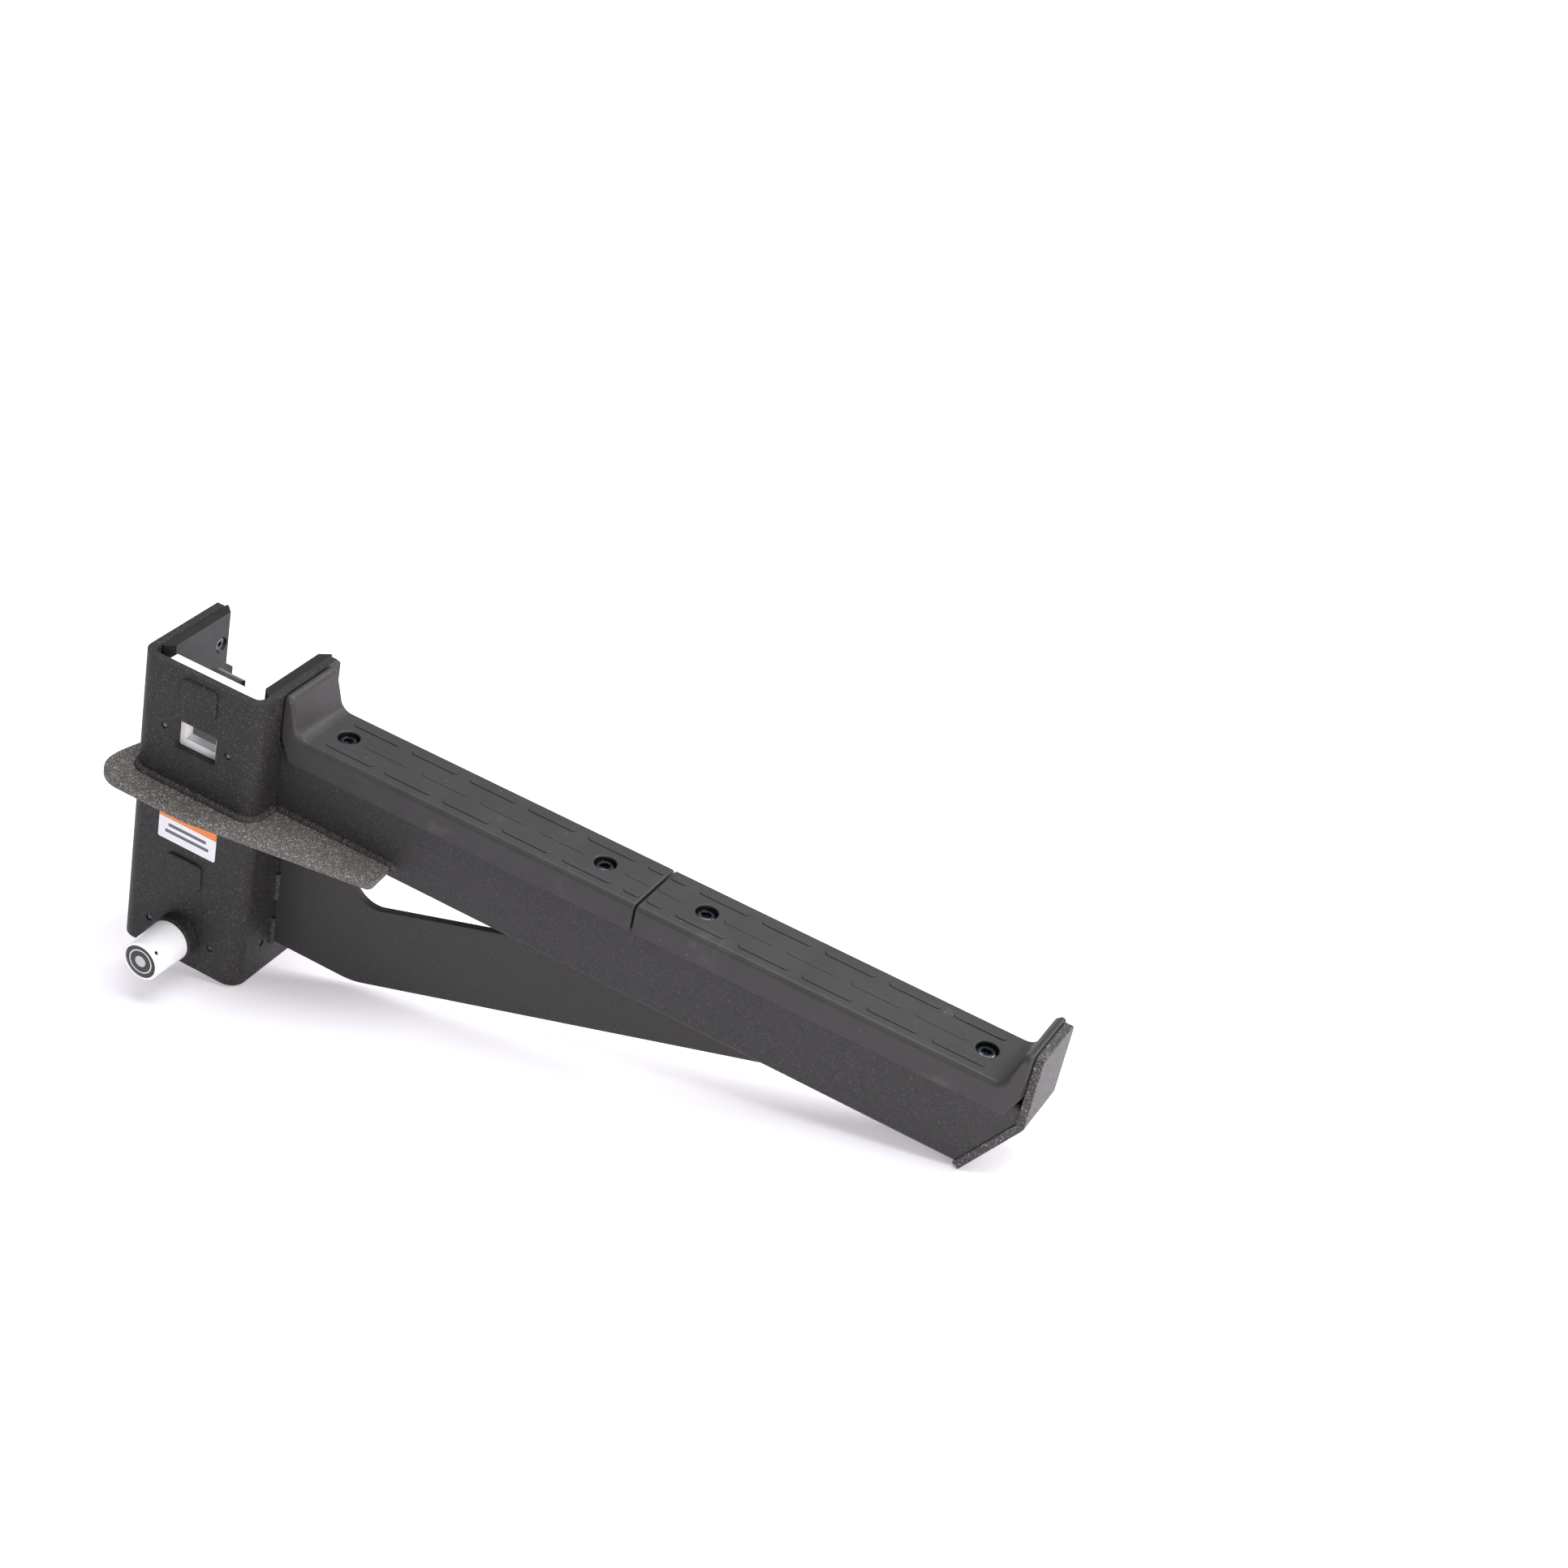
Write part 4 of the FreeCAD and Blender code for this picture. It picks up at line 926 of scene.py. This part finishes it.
def joined(name: str, pieces: Sequence[Object]) -> Object:
    """Joins pieces of one finish into one object."""
    shape = bmesh.new()
    for piece in pieces:
        shape.from_mesh(piece.data)
    whole = from_bmesh(name, shape)
    for material in pieces[0].data.materials:
        whole.data.materials.append(material)
    whole.data.shade_smooth()
    for piece in pieces:
        bpy.data.objects.remove(piece)
    return whole


# ------------------------------------------------------------------ sub-assemblies


@dataclass
class SteelFrame:
    """Channel, arm tube, end plate, gussets and their welds."""

    edge: float = 0.9 * MM
    gusset_edge: float = 1.3 * MM
    bend: float = 12.25 * MM
    bead_radius: float = 3.6 * MM
    stitch_radius: float = 2.9 * MM
    ripple_pitch: float = 2.4 * MM
    tail_inset: float = 1.5 * MM
    stitches: tuple[tuple[float, float], ...] = ((-4.5, 19.5), (37.0, 60.5))

    def build(self) -> None:
        """Makes and dresses every piece of the welded frame."""
        # Each part takes its own copy of the one powder coat, whose brightness is painted light and shade.
        plan = (
            ("upright_channel", "channel_shell", self.edge, Finish.FRAME),
            ("arm_tube", "arm_box_tube", self.edge, Finish.ARM),
            ("end_plate", "tip_stop_plate", self.edge, Finish.TIP),
            ("lower_gusset", "brace_plate", self.edge, Finish.BRACE),
            ("wrap_gusset", "wrap_plate", self.gusset_edge, Finish.COARSE),
        )
        for node, name, edge, finish in plan:
            stand_for(rounded_copy(node, name, edge, finish, 3), "powder_coat", FRAME_BODY, node)
        self.build_welds()

    def wrap_path(self) -> list[Vector]:
        """The weld's root round the channel and along the arm, on the wrap plate's top."""
        low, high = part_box("upright_channel")
        _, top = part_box("wrap_gusset")
        arm_low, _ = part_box("arm_tube")
        level = top.z
        path = []
        for side, start, end in ((-1, 180, 270), (1, 270, 360)):
            corner_x = side * (high.x - self.bend)
            for step in range(9):
                turn = math.radians(start + (end - start) * step / 8)
                x = corner_x + self.bend * math.cos(turn)
                path.append(Vector((x, low.y + self.bend + self.bend * math.sin(turn), level)))
        path.insert(0, Vector((low.x, arm_low.y, level)))
        tail = top.x - self.tail_inset
        for x, back, drop in (
            (high.x, 1.0, 0.0), (high.x + 2 * MM, 0.0, 0.0), (tail, 0.0, 0.5), (tail + 2.5 * MM, 0.0, 3.5),
        ):
            path.append(Vector((x, arm_low.y - back * MM, level - drop * MM)))
        return path

    def build_welds(self) -> None:
        """The long fillet weld and the brace's stitches."""
        weld = Finish.WELD.made()
        beads = [weld_bead("wrap_weld", self.wrap_path(), self.bead_radius, self.ripple_pitch, 0.05, 2.0, weld)]
        gusset_low, gusset_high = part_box("lower_gusset")
        for number, y in enumerate((gusset_low.y, gusset_high.y)):
            for start, end in self.stitches:
                path = [
                    Vector((gusset_low.x, y, (start + (end - start) * i / 6) * MM))
                    for i in range(7)
                ]
                seed = 7.0 + 11 * number + start
                beads.append(
                    weld_bead("stitch_weld", path, self.stitch_radius, self.ripple_pitch * 1.4, 0.12, seed, weld)
                )
        stand_for(joined("weld_bead_set", beads), "powder_coat", FRAME_BODY, "weld_beads")


@dataclass
class Hooks:
    """The two lugs and their plastic faces."""

    edge: float = 0.7 * MM
    cap_edge: float = 0.35 * MM

    def build(self) -> None:
        """Makes and dresses both hooks and their plastic faces."""
        for which in ("upper", "lower"):
            lug = rounded_copy(f"{which}_hook", f"{which}_hook_lug", self.edge, Finish.FRAME)
            stand_for(lug, "powder_coat", FRAME_BODY, f"{which}_hook")
            face = rounded_copy(f"{which}_hook_cap", f"{which}_hook_face", self.cap_edge, Finish.CAP)
            stand_for(face, "cap_plastic", FRAME_BODY, f"{which}_hook_cap")


@dataclass
class Liners:
    """The plastic plates that line the channel."""

    edge: float = 0.5 * MM
    white: tuple[str, ...] = ("upper_web_liner",)
    black: tuple[str, ...] = (
        "lower_web_liner", "upper_free_side_liner", "upper_arm_side_liner",
        "lower_free_side_liner", "lower_arm_side_liner",
    )

    def build(self) -> None:
        """Makes and dresses every liner."""
        for nodes, finish, slot in (
            (self.white, Finish.LINER_WHITE, "liner_white"),
            (self.black, Finish.LINER_BLACK, "liner_black"),
        ):
            for node in nodes:
                stand_for(rounded_copy(node, f"{node}_plate", self.edge, finish), slot, FRAME_BODY, node)


@dataclass
class Screws:
    """The countersunk screws, all alike but for size."""

    head: float = 5.0 * MM
    shank: float = 2.5 * MM
    key: float = 1.75 * MM
    rim: float = 0.25 * MM
    point: float = 0.6 * MM
    lead: float = 0.2 * MM
    steps: int = 24

    def template(self, scale: float, length: float) -> Object:
        """One countersunk socket screw with its face at the origin, facing +Z.

        Args:
            scale: size against the liner screws.
            length: overall length.

        Returns:
            The template object.
        """
        head, shank, key = self.head * scale, self.shank * scale, self.key * scale
        sink, rim = head - shank, self.rim * scale
        outline = (
            (shank * 0.7, -length), (shank, -length + self.point), (shank, -sink), (head, -rim),
            (head - rim, 0.0), (key * 1.15, 0.0), (key, -self.lead),
        )
        return socketed("screw_template", outline, key, -sink * 0.75, self.steps)

    def islands(self, node: str) -> list[tuple[Vector, Vector]]:
        """Lowest and highest corners of each separate screw of a CAD node."""
        shape = bmesh.new()
        shape.from_mesh(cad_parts[node].data)
        bmesh.ops.remove_doubles(shape, verts=shape.verts, dist=WELD_DISTANCE)
        left, boxes = set(shape.verts), []
        while left:
            stack, island = [left.pop()], []
            while stack:
                vert = stack.pop()
                island.append(vert.co.copy())
                for edge in vert.link_edges:
                    other = edge.other_vert(vert)
                    if other in left:
                        left.remove(other)
                        stack.append(other)
            low = Vector([min(p[i] for p in island) for i in range(3)])
            high = Vector([max(p[i] for p in island) for i in range(3)])
            boxes.append((low, high))
        shape.free()
        return sorted(boxes, key=lambda b: tuple(b[0]))

    def build(self) -> None:
        """Makes the screws of the hooks and of all the liners."""
        for node, name, scale, sideways, seed in (
            ("hook_cap_screws", "cap_screw_set", 0.78, False, 3),
            ("web_liner_screws", "web_screw_set", 1.0, False, 5),
            ("side_liner_screws", "side_screw_set", 1.0, True, 8),
        ):
            places, length = [], 0.0
            for low, high in self.islands(node):
                way = Vector((-1 if low.x > 0 else 1, 0, 0)) if sideways else INWARD
                length = abs((high - low).dot(way))
                places.append(((low + high) / 2 + way * (length / 2), way))
            fasten(name, self.template(scale, length), places, seed, node)


@dataclass
class Pads:
    """The two plastic covers with their raised ribs, recesses and bolts.

    A row of ribs is its start, pitch, count and the start of its short last rib, from the pad's outer end.
    """

    edge: float = 1.1 * MM
    rib_length: float = 38.8 * MM
    rib_width: float = 5.0 * MM
    rib_height: float = 0.85 * MM
    middle_rib_height: float = 0.45 * MM
    rib_shadow: float = 0.22 * MM
    rib_sink: float = 0.2 * MM
    outer_row: float = 16.9 * MM
    outer: tuple[float, float, int, float] = (32.8 * MM, 49.3 * MM, 5, 279.3 * MM)
    middle: tuple[float, float, int, float] = (53.0 * MM, 49.4 * MM, 4, 271.0 * MM)
    rib_limit: float = 292.0 * MM
    bolts: tuple[float, float] = (39.0 * MM, 254.2 * MM)
    recess: float = 8.0 * MM
    recess_depth: float = 9.0 * MM
    bolt_head: float = 6.5 * MM
    bolt_key: float = 3.3 * MM
    bolt_steps: int = 48
    washer_radius: float = 7.7 * MM
    washer_bore: float = 4.1 * MM
    washer_soft: float = 0.25 * MM

    def build(self) -> None:
        """Makes and dresses both pads and their bolts."""
        arm_low, arm_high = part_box("arm_tube")
        for node, origin, way in (("rear_pad", arm_low.x, 1), ("tip_pad", arm_high.x, -1)):
            pad = rounded_copy(node, f"{node}_cover", self.edge, Finish.PAD, 3, clamp=False)
            pad.data.materials.append(Finish.RECESS.made())
            self.gloss_and_shade_recesses(pad, origin, way)
            stand_for(pad, "pad_plastic", FRAME_BODY, node)
            self.build_ribs(node, origin, way)
        self.build_bolts()

    def gloss_and_shade_recesses(self, pad: Object, origin: float, way: int) -> None:
        """Gives the bolt recesses their own smooth finish, glossier and darker than the pad; the darker colour is
        painted shade.
        """
        top = self.top()
        for face in pad.data.polygons:
            for reach in self.bolts:
                place = Vector((origin + way * reach, 0))
                away = (Vector(face.center[:2]) - place).length
                if away < self.recess + 0.3 * MM and face.center.z < top - 0.9 * MM:
                    face.material_index = 1

    def top(self) -> float:
        """Height of the pads' flat top."""
        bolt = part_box("pad_bolt_washers")[0].z
        return bolt + self.recess_depth

    def rib(self, length: float, height: float) -> Object:
        """One long round-ended rib, its low end's middle at the origin, along +X.

        Args:
            length: overall length.
            height: how far it stands proud.

        Returns:
            The template object.
        """
        shape = bmesh.new()
        layers = (
            (0.0, -self.rib_sink), (0.0, height * 0.45), (0.18 * MM, height * 0.85), (0.5 * MM, height),
        )
        rings = []
        for inset, z in layers:
            radius = self.rib_width / 2 - inset
            loop = []
            for end, first in ((1, -90), (0, 90)):
                middle = self.rib_width / 2 + end * (length - self.rib_width)
                for step in range(9):
                    turn = math.radians(first + 180 * step / 8)
                    loop.append(shape.verts.new((middle + radius * math.cos(turn), radius * math.sin(turn), z)))
            rings.append(loop)
        bridge(shape, rings)
        shape.faces.new(rings[0][::-1])
        shape.faces.new(rings[-1])
        return from_bmesh("rib_template", shape)

    def build_ribs(self, node: str, origin: float, way: int) -> None:
        """The three rows of ribs on one pad."""
        top = self.top()
        # The rib plastic gets painted shade on the ribs' lowest walls, up to rib_shadow above the pad top, so each rib
        # shows a dark outline.
        plastic = replace(Finish.PAD.value, name=f"{node}_rib_plastic", painted_shade_height=top + self.rib_shadow)
        material = plastic.material()
        pieces = []
        rows = (
            (-self.outer_row, self.rib_height, self.outer), (self.outer_row, self.rib_height, self.outer),
            (0.0, self.middle_rib_height, self.middle),
        )
        for y, height, (start, pitch, count, last) in rows:
            full = self.rib(self.rib_length, height)
            low_end = origin + start if way > 0 else origin - start - self.rib_length
            place, step = Vector((low_end, y, top)), Vector((way * pitch, 0, 0))
            pieces.append(repeated("rib_row", full, place, step, count, material))
            short = self.rib(self.rib_limit - last, height)
            low_end = origin + last if way > 0 else origin - self.rib_limit
            pieces.append(repeated("rib_end", short, Vector((low_end, y, top)), step, 1, material))
            bpy.data.objects.remove(short)
            bpy.data.objects.remove(full)
        ribs = joined(f"{node}_ribs", pieces)
        smooth(ribs, 50)
        stand_for(ribs, "pad_plastic", FRAME_BODY)

    def build_bolts(self) -> None:
        """Low-head socket bolts and their washers, one of each in every recess."""
        arm_low, arm_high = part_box("arm_tube")
        low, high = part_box("pad_bolts")
        washer_low, washer_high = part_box("pad_bolt_washers")
        spots = [arm_low.x + reach for reach in self.bolts] + [arm_high.x - reach for reach in self.bolts]
        head = self.bolt_template(high.z - washer_high.z, washer_high.z - low.z)
        washer = self.washer_template(washer_high.z - washer_low.z)
        for name, template, level, seed, node in (
            ("pad_bolt_set", head, washer_high.z, 4, "pad_bolts"),
            ("pad_washer_set", washer, washer_low.z, 6, "pad_bolt_washers"),
        ):
            fasten(name, template, [(Vector((x, 0, level)), UP) for x in spots], seed, node)

    def bolt_template(self, height: float, shank: float) -> Object:
        """A low-head socket bolt whose head stands on z = 0."""
        head, key, soft = self.bolt_head, self.bolt_key, 0.3 * MM
        outline = (
            (2.9 * MM, -shank), (3.9 * MM, -shank + 1 * MM), (4.0 * MM, 0.0), (head - soft, 0.0),
            (head, soft), (head, height - 1.1 * MM), (head - 0.35 * MM, height - 0.4 * MM),
            (head - 1.1 * MM, height), (key + 0.45 * MM, height), (key + 0.05 * MM, height - 0.5 * MM),
        )
        return socketed("bolt_template", outline, key, height * 0.42, self.bolt_steps)

    def washer_template(self, thick: float) -> Object:
        """A plain washer with softened rims, standing on z = 0."""
        shape = bmesh.new()
        outer, bore, soft = self.washer_radius, self.washer_bore, self.washer_soft
        outline = (
            (bore, 0.0), (outer - soft, 0.0), (outer, soft), (outer, thick - soft),
            (outer - soft, thick), (bore + soft, thick), (bore, thick - soft),
        )
        rings = [ring(shape, radius, z, self.bolt_steps) for radius, z in outline]
        bridge(shape, rings + rings[:1])
        return from_bmesh("washer_template", shape)


@dataclass
class PullPin:
    """Housing, pin and knob."""

    housing_edge: float = 0.5 * MM
    knob_edge: float = 0.5 * MM
    pull: float = 20.0 * MM
    inner: dict[str, Finish] = field(default_factory=lambda: {
        "guide_bushing": Finish.BRONZE,
        "lock_pin": Finish.ZINC,
        "thrust_washer": Finish.ZINC,
        "knob_set_screw": Finish.BLACK_OXIDE,
        "pad_bolt_nuts": Finish.ZINC,
    })

    def build(self) -> None:
        """Makes and dresses the pull-pin assembly."""
        collar = rounded_copy("pin_housing", "pin_collar_and_barrel", self.housing_edge, Finish.FRAME)
        stand_for(collar, "powder_coat", FRAME_BODY, "pin_housing")
        knob = rounded_copy("pull_knob", "white_pull_knob", self.knob_edge, Finish.KNOB, 3, 30)
        stand_for(knob, "knob_white", PIN_BODY, "pull_knob")
        self.build_badge()
        self.build_spring()
        for node, finish in self.inner.items():
            dress(node, finish)

    def build_spring(self) -> None:
        """The spring, a smoothed copy of the CAD coil with a mesh of its own."""
        coil = show("coil_spring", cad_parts["pin_spring"].data.copy())
        coil.data.materials.clear()
        coil.data.materials.append(Finish.ZINC.made())
        smooth(coil, 40)
        stand_for(coil, "zinc_steel", FRAME_BODY, "pin_spring")
        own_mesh(coil)

    def build_badge(self) -> None:
        """The black inlay in the knob's end, slightly domed."""
        low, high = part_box("knob_badge")
        outer = high.x - 0.05 * MM
        face = low.y
        profile = [
            (0.0, high.y), (outer - 0.2 * MM, high.y), (outer, high.y - 0.2 * MM), (outer, face + 0.6 * MM),
            (outer - 0.5 * MM, face + 0.25 * MM), (outer * 0.6, face + 0.06 * MM), (0.0, face),
        ]
        badge = turned("knob_inlay", profile, 96)
        badge.data.materials.append(KnobInlay("knob_inlay_rings").material())
        smooth(badge, 40)
        stand_for(badge, "badge_black", PIN_BODY, "knob_badge")


@dataclass
class Labels:
    """The sticker on the web and the decal on the arm."""

    sticker_corner: float = 1.6 * MM
    decal_corner: float = 2.0 * MM

    def build(self) -> None:
        """Makes and dresses both labels."""
        for node, name, corner, look, slot in (
            ("web_sticker", "web_label", self.sticker_corner, WebLabel, "sticker"),
            ("arm_decal", "side_decal", self.decal_corner, SideDecal, "decal"),
        ):
            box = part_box(node)
            label = rounded_slab(name, *box, corner)
            label.data.materials.append(look(f"{name}_vinyl", box).material())
            stand_for(label, slot, FRAME_BODY, node)


# ------------------------------------------------------------------ studio


@dataclass
class Studio:
    """Floor, lights and camera."""

    floor_slope: float = 13.72
    floor_point: Vector = field(default_factory=lambda: Vector((53.2, 0, -25.4)) * MM)
    floor_shift: Vector = field(default_factory=lambda: Vector((0.25, 0, -0.0005)))
    floor_sides: int = 96
    floor_radius: float = 1.25
    floor_glow: float = 0.30
    sky_tone: Colour = (0.30, 0.30, 0.31)
    light_aim: Vector = field(default_factory=lambda: Vector((0.25, 0, 0.08)))
    camera_place: Vector = field(default_factory=lambda: Vector((0.997165, -1.472164, 1.379518)))
    camera_right: Vector = field(default_factory=lambda: Vector((0.863749, 0.469263, 0.183658)))
    camera_down: Vector = field(default_factory=lambda: Vector((0.403542, -0.425834, -0.809826)))
    lens: float = 67.10

    def build(self) -> None:
        """Sets up everything that isn't part of the object."""
        self.build_floor()
        self.build_lights()
        self.build_camera()

    def build_floor(self) -> None:
        """A plain pale floor under the resting points, seen only from above."""
        shape = bmesh.new()
        lean = Euler((0, -math.radians(self.floor_slope), 0)).to_matrix()
        middle = self.floor_point + lean @ self.floor_shift
        turns = [math.tau * i / self.floor_sides for i in range(self.floor_sides)]
        rim = [Vector((math.cos(t), math.sin(t), 0)) * self.floor_radius for t in turns]
        shape.faces.new([shape.verts.new(lean @ p + middle) for p in rim])
        mesh = bpy.data.meshes.new("studio_floor")
        shape.to_mesh(mesh)
        shape.free()
        floor = show("studio_floor", mesh)
        r = Recipe("studio_floor_white")
        paint = r.node("ShaderNodeBsdfDiffuse", inputs={"Color": (0.90, 0.88, 0.92)})
        glow = r.node("ShaderNodeEmission", inputs={"Color": (0.98, 0.95, 1.0), "Strength": self.floor_glow})
        both = r.node("ShaderNodeAddShader", inputs={0: paint.outputs[0], 1: glow.outputs[0]})
        clear = r.node("ShaderNodeBsdfTransparent")
        under = r.wire("ShaderNodeNewGeometry", out="Backfacing")
        mix = r.node("ShaderNodeMixShader", inputs={0: under, 1: both.outputs[0], 2: clear.outputs[0]})
        r.node("ShaderNodeOutputMaterial", inputs={"Surface": mix.outputs[0]})
        mesh.materials.append(r.material)

    def build_lights(self) -> None:
        """Soft sky all round, a broad key from the right and a low fill from the front."""
        scene = bpy.context.scene
        scene.world = self.sky()
        for name, place, size, power, colour in (
            ("key_softbox", (1.7, 1.5, 1.9), 0.9, 42.0, (1.0, 0.985, 0.97)),
            ("top_softbox", (0.3, 0.2, 2.2), 1.9, 62.0, (0.98, 0.98, 1.0)),
            ("side_softbox", (2.1, -1.15, 0.75), 0.9, 34.0, (1.0, 0.97, 0.96)),
        ):
            self.area(name, Vector(place), size, power, colour)
        scene.view_settings.view_transform = "Standard"

    def sky(self) -> World:
        """A dim sky over a bright ground, so that upright faces stay darker than level ones.

        Returns:
            The world.
        """
        world = bpy.data.worlds.new("studio_sky")
        world.use_nodes = True
        world.node_tree.nodes.clear()
        tree = Tree(world.node_tree)
        way = tree.wire("ShaderNodeTexCoord", out="Generated")
        height = Wire(tree, tree.node("ShaderNodeSeparateXYZ", inputs={0: way}).outputs[2])
        above = height.eased(-0.03, 0.03)
        shade = tree.wire(
            "ShaderNodeMix", {"data_type": "RGBA"}, {0: above, 6: (1.0, 1.0, 1.0), 7: self.sky_tone}, out=2
        )
        light = tree.node("ShaderNodeBackground", inputs={"Color": shade, "Strength": 1.02})
        tree.node("ShaderNodeOutputWorld", inputs={"Surface": light.outputs[0]})
        return world

    def area(self, name: str, place: Vector, size: float, power: float, colour: Colour) -> None:
        """Adds a soft light that looks at the object.

        Args:
            name: the light's name.
            place: where it stands.
            size: its width.
            power: in watts.
            colour: of its light.
        """
        lamp = bpy.data.lights.new(name, "AREA")
        lamp.size = size
        lamp.energy = power
        lamp.color = colour
        light = bpy.data.objects.new(name, lamp)
        light.location = place
        aim = self.light_aim - place
        light.rotation_euler = aim.to_track_quat("-Z", "Y").to_euler()
        bpy.context.scene.collection.objects.link(light)

    def build_camera(self) -> None:
        """The camera, high on the pull knob's side."""
        data = bpy.data.cameras.new("studio_camera")
        data.lens = self.lens
        data.sensor_width = 36.0
        camera = bpy.data.objects.new("studio_camera", data)
        right, up = self.camera_right.normalized(), -self.camera_down.normalized()
        back = right.cross(up).normalized()
        turn = Matrix((right, back.cross(right), back)).transposed()
        camera.matrix_world = Matrix.Translation(self.camera_place) @ turn.to_4x4()
        bpy.context.scene.collection.objects.link(camera)
        bpy.context.scene.camera = camera


def main() -> None:
    """Builds the studio and every sub-assembly in order."""
    logging.basicConfig(level=logging.INFO, format="%(name)s %(message)s")
    for assembly in (Studio(), SteelFrame(), Hooks(), Liners(), Screws(), Pads(), PullPin(), Labels()):
        assembly.build()


if __name__ == "__main__":
    main()
